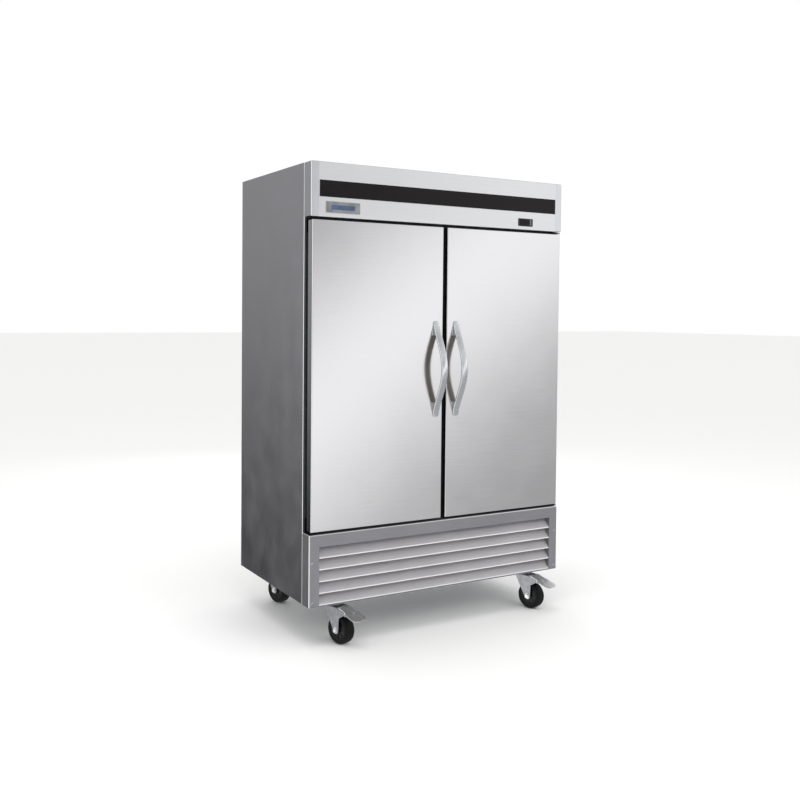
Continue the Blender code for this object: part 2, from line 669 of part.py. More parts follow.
# ---------------------------------------------------------------- louvred panel
def louver_panel():
    """Folded pan across the bottom, open behind and below, with slanted slats between two
    brackets: each slat's lower edge is in the face and its upper edge stands back inside."""
    whole = box((-HALF_WIDTH, FACE_Y, BASE_Z), (HALF_WIDTH, CARCASS_Y - GAP, PANEL_TOP_Z))
    panel = part("louver_panel", whole, "stainless")
    cut(panel, box((-HALF_WIDTH + SHEET, FACE_Y + SHEET, BASE_Z - SHEET),
                   (HALF_WIDTH - SHEET, CARCASS_Y + SHEET, PANEL_TOP_Z - SHEET)))
    half = LOUVER_OPENING_WIDTH / 2
    opening_base = BASE_Z + LOUVER_OPENING_BOTTOM
    opening_top = BASE_Z + LOUVER_OPENING_TOP
    cut(panel, box((-half, FACE_Y - SHEET, opening_base), (half, FACE_Y + 2 * SHEET, opening_top)))
    for side in (-1, 1):
        join(panel, box((side * (half + GAP), FACE_Y + SHEET / 2, opening_base - GAP),
                        (side * (half + GAP + SLAT_SHEET), FACE_Y + SLAT_DEPTH, opening_top + GAP)))
    pitch = (opening_top - opening_base) / SLAT_COUNT
    rise = pitch - 2 * SLAT_SHEET
    nose = FACE_Y + GAP
    end = half + GAP + SLAT_SHEET / 2
    for i in range(SLAT_COUNT):
        edge = opening_base + i * pitch
        outline = [
            (nose, edge), (nose + SLAT_SHEET, edge - SLAT_SHEET / 4),
            (nose + SLAT_DEPTH - SLAT_SHEET, edge + rise), (nose + SLAT_DEPTH - 2 * SLAT_SHEET, edge + rise),
            (nose, edge + SLAT_SHEET),
        ]
        join(panel, extruded(outline, 0, -end, end))


# ---------------------------------------------------------------- doors
def door(name, side):
    """One door: outer pan, foam, inner panel, gasket and handle, hung on its outer edge."""
    pivot = Vector((side * HINGE_X, HINGE_Y, 0))
    carrier = empty_at(f"{name}_hinge_axis", pivot)
    inner_x, outer_x = sorted((side * DOOR_INNER_X, side * DOOR_OUTER_X))

    def door_part(node, bm, finish):
        bmesh.ops.translate(bm, verts=bm.verts, vec=-pivot)
        return part(f"{name}_{node}", bm, finish, parent=carrier)

    def door_cut(obj, bm):
        bmesh.ops.translate(bm, verts=bm.verts, vec=-pivot)
        cut(obj, bm)

    def door_join(obj, bm):
        bmesh.ops.translate(bm, verts=bm.verts, vec=-pivot)
        join(obj, bm)

    def inset_box(inset, front, back):
        return box((inner_x + inset, front, DOOR_BASE_Z + inset),
                   (outer_x - inset, back, DOOR_TOP_Z - inset))

    def pin_holes(obj):
        radius = HINGE_PIN_RADIUS + PIN_CLEARANCE
        deep = HINGE_PIN_LENGTH + PIN_CLEARANCE
        for level, way in ((DOOR_BASE_Z, 1), (DOOR_TOP_Z, -1)):
            door_cut(obj, cylinder(pivot, radius, level - way * deep, level + way * deep, 2, 16))

    low = (inner_x, FACE_Y, DOOR_BASE_Z)
    high = (outer_x, DOOR_BACK_Y, DOOR_TOP_Z)
    wall = DOOR_SHEET
    cavity_low = (inner_x + wall, FACE_Y + wall, DOOR_BASE_Z + wall)
    cavity_high = (outer_x - wall, DOOR_BACK_Y, DOOR_TOP_Z - wall)
    skin = door_part("skin", hollow_box(low, high, cavity_low, cavity_high, 1, 1), "stainless")
    pin_holes(skin)

    liner_front = DOOR_BACK_Y - DOOR_LINER_SHEET
    seat = DOOR_SHEET + GAP
    plug_inset = GASKET_INSET + GASKET_WIDTH + DOOR_PLUG_MARGIN
    plug_back = DOOR_BACK_Y + DOOR_PLUG_DEPTH
    core = door_part("insulation", inset_box(seat, FACE_Y + seat, liner_front - GAP), "foam")
    pin_holes(core)
    raised_core = inset_box(plug_inset + DOOR_LINER_SHEET + GAP, FACE_Y + 2 * seat,
                            plug_back - DOOR_LINER_SHEET - GAP)
    door_join(core, raised_core)

    liner = door_part("inner_panel", inset_box(seat, liner_front, DOOR_BACK_Y), "stainless")
    door_join(liner, inset_box(plug_inset, liner_front + DOOR_LINER_SHEET / 2, plug_back))
    door_cut(liner, inset_box(plug_inset + DOOR_LINER_SHEET, FACE_Y, plug_back - DOOR_LINER_SHEET))

    gasket = door_part("gasket", inset_box(GASKET_INSET, DOOR_BACK_Y + GAP, FRAME_FRONT_Y - GAP),
                       "vinyl_gasket")
    door_cut(gasket, inset_box(GASKET_INSET + GASKET_WIDTH, DOOR_BACK_Y - FRAME_DEPTH, CARCASS_Y))

    handle = door_part("handle", handle_bow(side), "satin_zinc")
    bevel(handle, HANDLE_BEVEL, 2)
    handle.data.shade_smooth()
    handle.data.set_sharp_from_angle(angle=math.radians(35))


def handle_bow(side):
    """Bow pull: a strap that rises from two solid feet to a round crown."""
    inset = LEFT_HANDLE_INSET if side < 0 else RIGHT_HANDLE_INSET
    x = side * (DOOR_INNER_X + inset)
    z = DOOR_BASE_Z + HANDLE_ABOVE_DOOR_BASE
    half = HANDLE_LENGTH / 2
    foot = half - HANDLE_FOOT
    door_face = FACE_Y - GAP

    def outer(along):
        rise = math.cos(math.pi / 2 * min(abs(along) / half, 1.0)) ** 1.5
        return HANDLE_TAIL + (HANDLE_REACH - HANDLE_TAIL) * rise

    outline = []
    for i in range(HANDLE_STATIONS + 1):
        along = -half + HANDLE_LENGTH * i / HANDLE_STATIONS
        outline.append((door_face - outer(along), z + along))
    outline.append((door_face, z + half))
    outline.append((door_face, z + foot))
    for i in range(HANDLE_STATIONS - 5):
        along = foot - 2 * foot * i / (HANDLE_STATIONS - 6)
        outline.append((door_face - outer(along) + HANDLE_STRAP, z + along))
    outline.append((door_face, z - foot))
    outline.append((door_face, z - half))
    return extruded(outline, 0, x - HANDLE_WIDTH / 2, x + HANDLE_WIDTH / 2)


def hinge_bracket(name, side, way):
    """Angle bracket on the breaker frame with the pin that a door turns on.  way is 1 for the
    bracket under the door and -1 for the one over it."""
    edge = DOOR_BASE_Z if way > 0 else DOOR_TOP_Z
    gap_size = DOOR_GAP_BELOW if way > 0 else DOOR_GAP_ABOVE
    middle = edge - way * gap_size / 2
    near, far = middle - HINGE_PLATE / 2, middle + HINGE_PLATE / 2
    outer = side * (HALF_WIDTH - FRAME_INSET)
    plate_inner = side * (HINGE_X - 3 * HINGE_PIN_RADIUS)
    leg_inner = side * (DOOR_OUTER_X - GASKET_INSET + GAP)
    back = FRAME_FRONT_Y - GAP
    front = HINGE_Y - 2 * HINGE_PIN_RADIUS
    bracket = part(name, box((outer, front, near), (plate_inner, back - HINGE_LEG_THICKNESS / 2, far)),
                   "galvanised", pivot=(side * HINGE_X, HINGE_Y, 0))
    start = middle - way * (HINGE_PLATE / 2 - GAP)
    join(bracket, box((outer - side * GAP, back - HINGE_LEG_THICKNESS, start),
                      (leg_inner, back, start + way * HINGE_LEG_HEIGHT)))
    join(bracket, cylinder((side * HINGE_X, HINGE_Y, 0), HINGE_PIN_RADIUS, middle,
                           edge + way * HINGE_PIN_LENGTH, 2, 16))


# ---------------------------------------------------------------- shelves
def shelf(name, side, level):
    """Coated wire shelf, drawn as a flat grid: a rim, long bars and cross bars."""
    xs = sorted((side * SHELF_CENTRE_GAP / 2, side * (ROOM_X - SHELF_CLEARANCE)))
    front = CARCASS_Y + SHELF_FRONT_CLEARANCE
    back = ROOM_BACK_Y - SHELF_CLEARANCE
    base = ROOM_FLOOR_Z + SHELF_FIRST + level * SHELF_PITCH
    grid = part(name, box((xs[0], front, base), (xs[1], back, base + SHELF_THICKNESS)), "coated_wire",
                pivot=((xs[0] + xs[1]) / 2, (front + back) / 2, base))
    slot_w = (xs[1] - xs[0] - 2 * SHELF_RIM - (SHELF_SLOTS_ACROSS - 1) * SHELF_BAR) / SHELF_SLOTS_ACROSS
    slot_d = (back - front - 2 * SHELF_RIM - (SHELF_SLOTS_DEEP - 1) * SHELF_BAR) / SHELF_SLOTS_DEEP
    for i in range(SHELF_SLOTS_ACROSS):
        for j in range(SHELF_SLOTS_DEEP):
            x = xs[0] + SHELF_RIM + i * (slot_w + SHELF_BAR)
            y = front + SHELF_RIM + j * (slot_d + SHELF_BAR)
            cut(grid, box((x, y, base - SHELF_THICKNESS),
                          (x + slot_w, y + slot_d, base + 2 * SHELF_THICKNESS)))


# ---------------------------------------------------------------- refrigeration unit
def fan_wheel(name, finish, centre, radius, hub_radius, hub_length, chord):
    """Propeller on a hub that turns about the Y axis; the hub is bored for the motor's shaft."""
    x, y, z = centre
    bore = SHAFT_RADIUS + GAP
    profile = [(bore, 0), (hub_radius, 0), (hub_radius, hub_length), (bore, hub_length)]
    wheel = part(name, turned(profile, 1, centre, 24), finish, pivot=centre, smooth=True)
    for i in range(FAN_BLADES):
        bm = box((hub_radius * 0.8, -FAN_SHEET / 2, -chord / 2), (radius, FAN_SHEET / 2, chord / 2))
        tilt = Matrix.Rotation(math.radians(FAN_PITCH), 4, "X")
        turn = Matrix.Rotation(math.tau * i / FAN_BLADES, 4, "Y")
        place = Matrix.Translation((x, y + hub_length / 2, z))
        bmesh.ops.transform(bm, matrix=place @ turn @ tilt, verts=bm.verts)
        join(wheel, bm)


def condensing_unit():
    floor = BASE_Z + BASE_SHEET + GAP
    half = CONDENSER_WIDTH / 2
    coil_front = CARCASS_Y + CONDENSER_SETBACK
    coil_back = coil_front + CONDENSER_THICKNESS
    x = CONDENSER_CENTRE
    top = floor + CONDENSER_HEIGHT
    part("condenser_coil", box((x - half, coil_front, floor), (x + half, coil_back, top)), "aluminium")

    shroud_front = coil_back + GAP
    shroud_back = shroud_front + SHROUD_DEPTH
    z = floor + CONDENSER_HEIGHT / 2
    wall = SHEET
    shroud = part("condenser_fan_shroud", hollow_box(
        (x - half, shroud_front, floor), (x + half, shroud_back, top),
        (x - half + wall, shroud_front, floor + wall),
        (x + half - wall, shroud_back - wall, top - wall), 1, 0), "galvanised")
    cut(shroud, cylinder((x, 0, z), FAN_HOLE_RADIUS, shroud_back - 3 * wall, shroud_back + wall, 1, 40))

    hub_length = SHROUD_DEPTH / 2
    fan_y = shroud_back - hub_length
    fan_wheel("condenser_fan_blade", "black_plastic", (x, fan_y, z), FAN_RADIUS, FAN_HUB_RADIUS, hub_length,
              FAN_CHORD / 2)

    motor_front = shroud_back + FAN_HUB_RADIUS
    can = cylinder((x, 0, z), MOTOR_RADIUS, motor_front, motor_front + MOTOR_LENGTH, 1, 28)
    motor = part("condenser_fan_motor", can, "black_plastic", smooth=True)
    join(motor, cylinder((x, 0, z), SHAFT_RADIUS, fan_y, motor_front + GAP, 1, 12))
    post = MOTOR_RADIUS / 2
    join(motor, box((x - post, motor_front + post, floor + GAP), (x + post, motor_front + 2 * post, z)))
    join(motor, box((x - 2 * post, motor_front, floor),
                    (x + 2 * post, motor_front + 3 * post, floor + BASE_SHEET)))


def compressor():
    """Hermetic compressor: a drawn steel shell on a footed base plate."""
    x = COMPRESSOR_PLACE[0]
    y = CARCASS_Y + COMPRESSOR_PLACE[1]
    floor = BASE_Z + BASE_SHEET + GAP
    foot = floor + 6 * BASE_SHEET
    radius = COMPRESSOR_RADIUS
    height = COMPRESSOR_HEIGHT
    low = [(radius * math.sin(a), foot + radius / 3 * (1 - math.cos(a)))
           for a in (math.pi / 2 * i / 5 for i in range(1, 6))]
    high = [(radius * math.cos(a), foot + height - radius / 2 + radius / 2 * math.sin(a))
            for a in (math.pi / 2 * i / 6 for i in range(6))]
    seam = foot + height * 0.52
    lip = radius * 1.05
    flange = [(radius, seam - 0.004), (lip, seam - 0.004), (lip, seam + 0.004), (radius, seam + 0.004)]
    outline = low + flange + high
    bm = bmesh.new()
    ring = [bm.verts.new((x, y, outline[0][1]))]
    ring += [bm.verts.new((x + r, y, h)) for r, h in outline]
    ring += [bm.verts.new((x, y, foot + height))]
    edges = [bm.edges.new((a, b)) for a, b in zip(ring, ring[1:])]
    bmesh.ops.spin(bm, geom=ring + edges, cent=(x, y, 0), axis=(0, 0, 1), angle=math.tau, steps=28,
                   use_merge=True, use_duplicate=False)
    bmesh.ops.remove_doubles(bm, verts=bm.verts, dist=0.00001)
    shell = part("compressor", bm, "compressor_enamel", smooth=True)
    plate = radius * 1.15
    join(shell, box((x - plate, y - plate * 0.7, foot - BASE_SHEET),
                    (x + plate, y + plate * 0.7, foot + radius / 3)))
    for i in (-1, 1):
        for j in (-1, 1):
            place = (x + i * plate * 0.82, y + j * plate * 0.5, 0)
            join(shell, cylinder(place, plate * 0.1, floor, foot, 2, 12))


def drain_pan():
    wide, deep, high = DRAIN_PAN_SIZE
    x = DRAIN_PAN_PLACE[0]
    y = CARCASS_Y + DRAIN_PAN_PLACE[1]
    floor = BASE_Z + BASE_SHEET + GAP
    wall = BASE_SHEET
    part("drain_pan", hollow_box(
        (x - wide / 2, y - deep / 2, floor), (x + wide / 2, y + deep / 2, floor + high),
        (x - wide / 2 + wall, y - deep / 2 + wall, floor + wall),
        (x + wide / 2 - wall, y + deep / 2 - wall, floor + high), 2, 1), "grey_plastic")


def gland_place():
    wide, _, high = ELECTRIC_BOX_SIZE
    return HALF_WIDTH - ELECTRIC_BOX_INSET - wide / 2, BASE_Z + BASE_SHEET + GAP + high / 2


def electrical_box():
    """Terminal box with the supply cord's gland, which reaches the back panel's face."""
    wide, deep, high = ELECTRIC_BOX_SIZE
    x, z = gland_place()
    back = BACK_Y - 12 * SHEET
    floor = BASE_Z + BASE_SHEET + GAP
    housing = box((x - wide / 2, back - deep, floor), (x + wide / 2, back, floor + high))
    unit = part("electrical_box", housing, "galvanised")
    join(unit, cylinder((x, 0, z), GLAND_RADIUS, back - SHEET, BACK_Y - SHEET, 1, 20))
    cut(unit, cylinder((x, 0, z), GLAND_RADIUS / 2, back + SHEET, BACK_Y + SHEET, 1, 16))


# ---------------------------------------------------------------- inside the cabinet
def evaporator():
    half = EVAPORATOR_WIDTH / 2
    top = ROOM_TOP_Z - GAP
    base = top - EVAPORATOR_HEIGHT
    back = ROOM_BACK_Y - EVAPORATOR_BACK_GAP
    front = back - EVAPORATOR_DEPTH
    wall = SHEET
    cover = part("evaporator_cover", hollow_box(
        (-half, front, base), (half, back, top),
        (-half + wall, front + wall, base + wall), (half - wall, back - wall, top), 2, 1), "aluminium")
    z = (base + top) / 2
    cut(cover, cylinder((0, 0, z), EVAPORATOR_HOLE_RADIUS, front - wall, front + 3 * wall, 1, 32))

    hub_length = EVAPORATOR_HUB_RADIUS
    fan_y = front + 4 * wall
    fan_wheel("evaporator_fan_blade", "black_plastic", (0, fan_y, z), EVAPORATOR_FAN_RADIUS,
              EVAPORATOR_HUB_RADIUS, hub_length, EVAPORATOR_HUB_RADIUS * 1.4)
    motor_front = fan_y + 2 * hub_length
    can = cylinder((0, 0, z), EVAPORATOR_MOTOR_RADIUS, motor_front,
                   motor_front + EVAPORATOR_MOTOR_LENGTH, 1, 24)
    motor = part("evaporator_fan_motor", can, "black_plastic", smooth=True)
    join(motor, cylinder((0, 0, z), SHAFT_RADIUS, fan_y, motor_front + GAP, 1, 12))
    arm = EVAPORATOR_MOTOR_RADIUS / 3
    join(motor, box((-arm, motor_front + arm, base + wall + GAP), (arm, motor_front + 3 * arm, z)))

    coil_front = motor_front + EVAPORATOR_MOTOR_LENGTH + arm
    part("evaporator_coil", box((-half + 10 * wall, coil_front, base + 8 * wall),
                                (half - 10 * wall, back - 10 * wall, top - 8 * wall)), "aluminium")


def interior_light():
    front = CARCASS_Y + LIGHT_SETBACK
    top = ROOM_TOP_Z - GAP
    lamp = part("interior_light", box((-LIGHT_LENGTH / 2, front, top - LIGHT_HEIGHT),
                                      (LIGHT_LENGTH / 2, front + LIGHT_DEPTH, top)), "white_plastic")
    bevel(lamp, LIGHT_HEIGHT / 5, 2)


# ---------------------------------------------------------------- casters
def fork_outline(braked):
    """Side plate of a fork as (y, z), swivel at y = 0 and the axle towards -Y."""
    axle = (-CASTER_TRAIL, WHEEL_DIAMETER / 2)
    boss = arc(axle, FORK_BOSS_RADIUS, 180, 340, 8)
    back = [(FORK_BACK, FORK_TOP - 4 * FORK_SHEET), (FORK_BACK, FORK_TOP)]
    if braked:
        shoulder = -CASTER_TRAIL - FORK_BOSS_RADIUS
        front = [
            (-FORK_BACK, FORK_TOP), (-EAR_REACH, PEDAL_PIVOT_HEIGHT),
            (-EAR_REACH, PEDAL_PIVOT_HEIGHT - 4 * FORK_SHEET),
            (shoulder - FORK_SHEET, PEDAL_PIVOT_HEIGHT - 10 * FORK_SHEET),
        ]
    else:
        front = [(-CASTER_TRAIL, FORK_TOP),
                 (-CASTER_TRAIL - FORK_BOSS_RADIUS / 2, FORK_TOP - 4 * FORK_SHEET)]
    return boss + back + front


def fork(name, braked, carrier):
    """Pressed fork with the ball race on top and the axle bolt through it."""
    race_top = CASTER_HEIGHT - RACE_CLEARANCE
    yoke_front = -FORK_BACK if braked else -CASTER_TRAIL
    yoke_half = FORK_INNER + FORK_SHEET / 2
    body = part(name, box((-yoke_half, yoke_front + GAP, FORK_TOP - FORK_SHEET),
                          (yoke_half, FORK_BACK - GAP, FORK_TOP - GAP)), "satin_zinc", parent=carrier)
    for side in (-1, 1):
        join(body, extruded(fork_outline(braked), 0, side * FORK_INNER, side * FORK_OUTER))
    join(body, cylinder((0, 0, 0), RACE_RADIUS, FORK_TOP - FORK_SHEET / 2, race_top, 2, 28))
    axle = (0, -CASTER_TRAIL, WHEEL_DIAMETER / 2)
    join(body, cylinder(axle, AXLE_RADIUS, -FORK_OUTER - AXLE_HEAD / 2, FORK_OUTER + AXLE_HEAD / 2, 0, 16))
    for side in (-1, 1):
        join(body, cylinder(axle, AXLE_HEAD_RADIUS, side * (FORK_OUTER - FORK_SHEET / 2),
                            side * (FORK_OUTER + AXLE_HEAD), 0, 6))
    cut(body, cylinder((0, 0, 0), STEM_RADIUS + STEM_CLEARANCE, FORK_TOP - 2 * FORK_SHEET,
                       race_top + FORK_SHEET, 2, 20))


def caster_wheel(name, carrier):
    """Solid wheel with a crowned tread, dished sides and a plain bore."""
    radius = WHEEL_DIAMETER / 2
    half = WHEEL_WIDTH / 2
    web = half - WHEEL_DISH
    bore = AXLE_RADIUS + AXLE_CLEARANCE
    rim = radius - 2 * WHEEL_SHOULDER
    side = [(bore, half), (WHEEL_HUB_RADIUS, half), (WHEEL_HUB_RADIUS + WHEEL_DISH, web),
            (rim - WHEEL_DISH, web), (rim, half)]
    shoulder = [
        (radius - WHEEL_SHOULDER + WHEEL_SHOULDER * math.sin(math.radians(a)),
         half - WHEEL_SHOULDER + WHEEL_SHOULDER * math.cos(math.radians(a)))
        for a in (0, 45, 90)
    ]
    right = side + shoulder
    left = [(r, -x) for r, x in reversed(right)]
    centre = (0, -CASTER_TRAIL, radius)
    part(name, turned(right + left, 0, centre, 28), "caster_tread", pivot=centre, parent=carrier,
         smooth=True)


def brake_pedal(name, carrier):
    """Foot pedal hinged between the fork's ears: a sloping paddle with two side flanges and its
    pivot pin."""
    pivot = (0, -PEDAL_PIVOT_REACH, PEDAL_PIVOT_HEIGHT)
    lift = PEDAL_FLANGE
    slope = Matrix.Rotation(math.radians(PEDAL_SLOPE), 4, "X")
    place = Matrix.Translation(pivot) @ slope

    def sloped(bm):
        bmesh.ops.transform(bm, matrix=place, verts=bm.verts)
        return bm

    plate = part(name, sloped(extruded(pedal_outline(), 2, lift, lift + PEDAL_SHEET)), "satin_zinc",
                 pivot=pivot, parent=carrier)
    for side in (-1, 1):
        outer = (side * PEDAL_NECK_HALF, PEDAL_BACK, -PEDAL_FLANGE / 2)
        inner = (side * (PEDAL_NECK_HALF - PEDAL_SHEET), -PEDAL_NECK, lift + PEDAL_SHEET / 2)
        join(plate, sloped(box(outer, inner)))
    join(plate, cylinder(pivot, AXLE_RADIUS / 2, -PEDAL_NECK_HALF + GAP, PEDAL_NECK_HALF - GAP, 0, 12))


def caster(place_name, x, y, braked):
    carrier = empty_at(f"caster_{place_name}_swivel_axis", (x, y, 0), CASTER_YAW)
    fork(f"caster_fork_{place_name}", braked, carrier)
    caster_wheel(f"caster_wheel_{place_name}", carrier)
    if braked:
        brake_pedal(f"brake_pedal_{place_name}", carrier)


# ---------------------------------------------------------------- assembly
clear_scene()
side_panel("left_side_panel", -1)
side_panel("right_side_panel", 1)
back_panel()
top_panel()
cabinet_insulation()
interior_liner()
breaker_frame()
base_frame()
header_panel()
header_end_cap("header_end_cap_left", -1)
header_end_cap("header_end_cap_right", 1)
header_strip()
badge_plate()
controller()
louver_panel()
for hand_name, hand in (("left", -1), ("right", 1)):
    door(f"{hand_name}_door", hand)
    hinge_bracket(f"{hand_name}_hinge_bracket_lower", hand, 1)
    hinge_bracket(f"{hand_name}_hinge_bracket_upper", hand, -1)
    for shelf_level in range(SHELF_COUNT):
        shelf(f"{hand_name}_shelf_{shelf_level + 1}", hand, shelf_level)
condensing_unit()
compressor()
drain_pan()
electrical_box()
evaporator()
interior_light()
for caster_name, (caster_x, caster_y, has_brake) in swivel_places().items():
    caster(caster_name, caster_x, caster_y, has_brake)
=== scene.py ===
"""A two-door reach-in refrigerator for a restaurant kitchen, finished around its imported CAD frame.

Metres, +Z up, doors towards -Y.  The file follows the cabinet as it is put together: studio,
carcass, casters, refrigeration unit, interior, header, louvred panel, doors.
"""

import json
import math

import bmesh
import bpy
from mathutils import Matrix, Vector


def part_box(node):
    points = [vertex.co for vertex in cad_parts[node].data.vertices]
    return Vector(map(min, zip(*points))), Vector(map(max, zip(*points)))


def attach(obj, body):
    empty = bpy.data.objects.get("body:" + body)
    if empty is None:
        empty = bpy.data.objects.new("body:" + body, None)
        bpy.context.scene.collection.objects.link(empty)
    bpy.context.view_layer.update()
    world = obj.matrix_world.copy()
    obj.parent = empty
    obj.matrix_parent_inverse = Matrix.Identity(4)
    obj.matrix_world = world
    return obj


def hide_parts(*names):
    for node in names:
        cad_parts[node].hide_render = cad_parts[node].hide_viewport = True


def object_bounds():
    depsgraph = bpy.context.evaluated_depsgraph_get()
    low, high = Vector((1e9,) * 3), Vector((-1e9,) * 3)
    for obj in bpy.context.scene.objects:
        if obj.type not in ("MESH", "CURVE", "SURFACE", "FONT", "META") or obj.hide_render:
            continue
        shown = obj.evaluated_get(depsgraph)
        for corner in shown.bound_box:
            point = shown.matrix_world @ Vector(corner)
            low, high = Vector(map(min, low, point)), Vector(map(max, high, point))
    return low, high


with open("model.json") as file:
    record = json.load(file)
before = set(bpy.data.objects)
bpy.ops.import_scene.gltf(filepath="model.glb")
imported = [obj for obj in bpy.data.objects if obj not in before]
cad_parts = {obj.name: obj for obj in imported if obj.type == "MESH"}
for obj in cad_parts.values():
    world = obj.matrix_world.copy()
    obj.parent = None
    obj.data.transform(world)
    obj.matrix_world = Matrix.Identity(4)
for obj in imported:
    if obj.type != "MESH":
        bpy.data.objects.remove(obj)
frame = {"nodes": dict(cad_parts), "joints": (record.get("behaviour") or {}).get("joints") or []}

cad_low, cad_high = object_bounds()
scene = bpy.context.scene
joints = {joint["name"]: joint for joint in frame["joints"]}


# ---------------------------------------------------------------------------------- studio
# A pale floor in a white room.  Polished steel shows the room and nothing else, so the room's
# brightness is graded for what the steel reflects: one soft diagonal band in front of the doors,
# and dimmer to the left, above and below it.  Two large soft boxes light everything matt.
FACE_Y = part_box("left_door_skin")[0].y
CAMERA_PLACE = Vector((-2.405, FACE_Y - 3.596, 1.449))
CAMERA_YAW, CAMERA_PITCH, CAMERA_ROLL = 29.74, -1.82, 0.49


def srgb(text):
    """A hex colour as the linear RGBA that the shaders take."""
    channels = [int(text[i:i + 2], 16) / 255 for i in (1, 3, 5)]
    linear = [c / 12.92 if c <= 0.04045 else ((c + 0.055) / 1.055) ** 2.4 for c in channels]
    return (*linear, 1.0)


def add_node(tree, kind, settings=None, links=None):
    """Adds a shader node.  Settings are its properties or unlinked inputs, links feed its inputs."""
    node = tree.nodes.new(kind)
    for name, value in (settings or {}).items():
        if isinstance(name, str) and hasattr(node, name):
            setattr(node, name, value)
        else:
            node.inputs[name].default_value = value
    for name, socket in (links or {}).items():
        tree.links.new(socket, node.inputs[name])
    return node


def light_the_room():
    world = bpy.data.worlds.new("white_room")
    scene.world = world
    world.use_nodes = True
    tree = world.node_tree
    tree.nodes.clear()
    way = add_node(tree, "ShaderNodeTexCoord").outputs["Generated"]
    # the band runs from low on the left to high on the right, as seen in the doors
    across = add_node(tree, "ShaderNodeVectorMath",
                      {"operation": "DOT_PRODUCT", 1: (-0.71, 0.0, 0.70)}, {0: way}).outputs["Value"]
    offset = add_node(tree, "ShaderNodeMath", {"operation": "ADD", 1: 0.380}, {0: across}).outputs[0]
    square = add_node(tree, "ShaderNodeMath", {"operation": "MULTIPLY"}, {0: offset, 1: offset}).outputs[0]
    fall = add_node(tree, "ShaderNodeMath", {"operation": "MULTIPLY", 1: -85.0}, {0: square}).outputs[0]
    bell = add_node(tree, "ShaderNodeMath", {"operation": "EXPONENT"}, {0: fall}).outputs[0]
    band = add_node(tree, "ShaderNodeMapRange", {"To Min": 0.50, "To Max": 1.50}, {"Value": bell}).outputs[0]
    parts = add_node(tree, "ShaderNodeSeparateXYZ", None, {0: way}).outputs
    overhead = add_node(tree, "ShaderNodeMapRange", {
        "interpolation_type": "SMOOTHSTEP", "From Min": 0.12, "From Max": 0.50, "To Min": 0.0, "To Max": 0.30,
    }, {"Value": parts["Z"]}).outputs[0]
    front = add_node(tree, "ShaderNodeMath", {"operation": "ADD"}, {0: band, 1: overhead}).outputs[0]
    dim_ceiling = add_node(tree, "ShaderNodeMapRange", {
        "interpolation_type": "SMOOTHSTEP", "From Min": 0.50, "From Max": 0.85, "To Min": 0.0, "To Max": -0.42,
    }, {"Value": parts["Z"]}).outputs[0]
    front = add_node(tree, "ShaderNodeMath", {"operation": "ADD"}, {0: front, 1: dim_ceiling}).outputs[0]
    behind = add_node(tree, "ShaderNodeMapRange", {
        "interpolation_type": "SMOOTHSTEP", "From Min": -0.33, "From Max": 0.12, "To Min": 0.0, "To Max": 0.37,
    }, {"Value": parts["Z"]}).outputs[0]
    window = add_node(tree, "ShaderNodeMapRange", {
        "interpolation_type": "SMOOTHSTEP", "From Min": -0.62, "From Max": -0.85, "To Min": 0.0, "To Max": 0.90,
    }, {"Value": parts["X"]}).outputs[0]
    front = add_node(tree, "ShaderNodeMath", {"operation": "ADD"}, {0: front, 1: window}).outputs[0]
    turned_back = add_node(tree, "ShaderNodeMapRange", {
        "interpolation_type": "SMOOTHSTEP", "From Min": 0.40, "From Max": 0.78,
    }, {"Value": parts["Y"]}).outputs[0]
    graded = add_node(tree, "ShaderNodeMix", {"data_type": "FLOAT"},
                      {0: turned_back, 2: front, 3: behind}).outputs[0]
    rays = add_node(tree, "ShaderNodeLightPath").outputs
    reflected = add_node(tree, "ShaderNodeBackground", {"Color": srgb("#fefeff")}, {"Strength": graded})
    soft_fill = add_node(tree, "ShaderNodeBackground", {"Color": srgb("#ffffff"), "Strength": 0.95})
    backdrop = add_node(tree, "ShaderNodeBackground", {"Color": srgb("#ffffff"), "Strength": 1.0})
    lit = add_node(tree, "ShaderNodeMixShader", None,
                   {0: rays["Is Glossy Ray"], 1: soft_fill.outputs[0], 2: reflected.outputs[0]})
    seen = add_node(tree, "ShaderNodeMixShader", None,
                    {0: rays["Is Camera Ray"], 1: lit.outputs[0], 2: backdrop.outputs[0]})
    add_node(tree, "ShaderNodeOutputWorld", None, {"Surface": seen.outputs[0]})


def soft_box(name, place, aim, size, power):
    light = bpy.data.lights.new(name, "AREA")
    light.shape = "RECTANGLE"
    light.size, light.size_y = size
    light.energy = power
    lamp = bpy.data.objects.new(name, light)
    lamp.location = place
    lamp.rotation_euler = (Vector(aim) - Vector(place)).to_track_quat("-Z", "Y").to_euler()
    lamp.visible_camera = False
    lamp.visible_glossy = False
    scene.collection.objects.link(lamp)


def lay_floor():
    reach = 60.0
    bm = bmesh.new()
    bmesh.ops.create_grid(bm, x_segments=2, y_segments=2, size=reach)
    mesh = bpy.data.meshes.new("studio_floor")
    bm.to_mesh(mesh)
    bm.free()
    floor = bpy.data.objects.new("studio_floor", mesh)
    floor.location.z = cad_low.z
    floor.visible_glossy = False
    scene.collection.objects.link(floor)
    material = bpy.data.materials.new("painted_floor")
    material.use_nodes = True
    shader = material.node_tree.nodes["Principled BSDF"]
    shader.inputs["Base Color"].default_value = srgb("#fbfbfa")
    shader.inputs["Roughness"].default_value = 0.9
    mesh.materials.append(material)


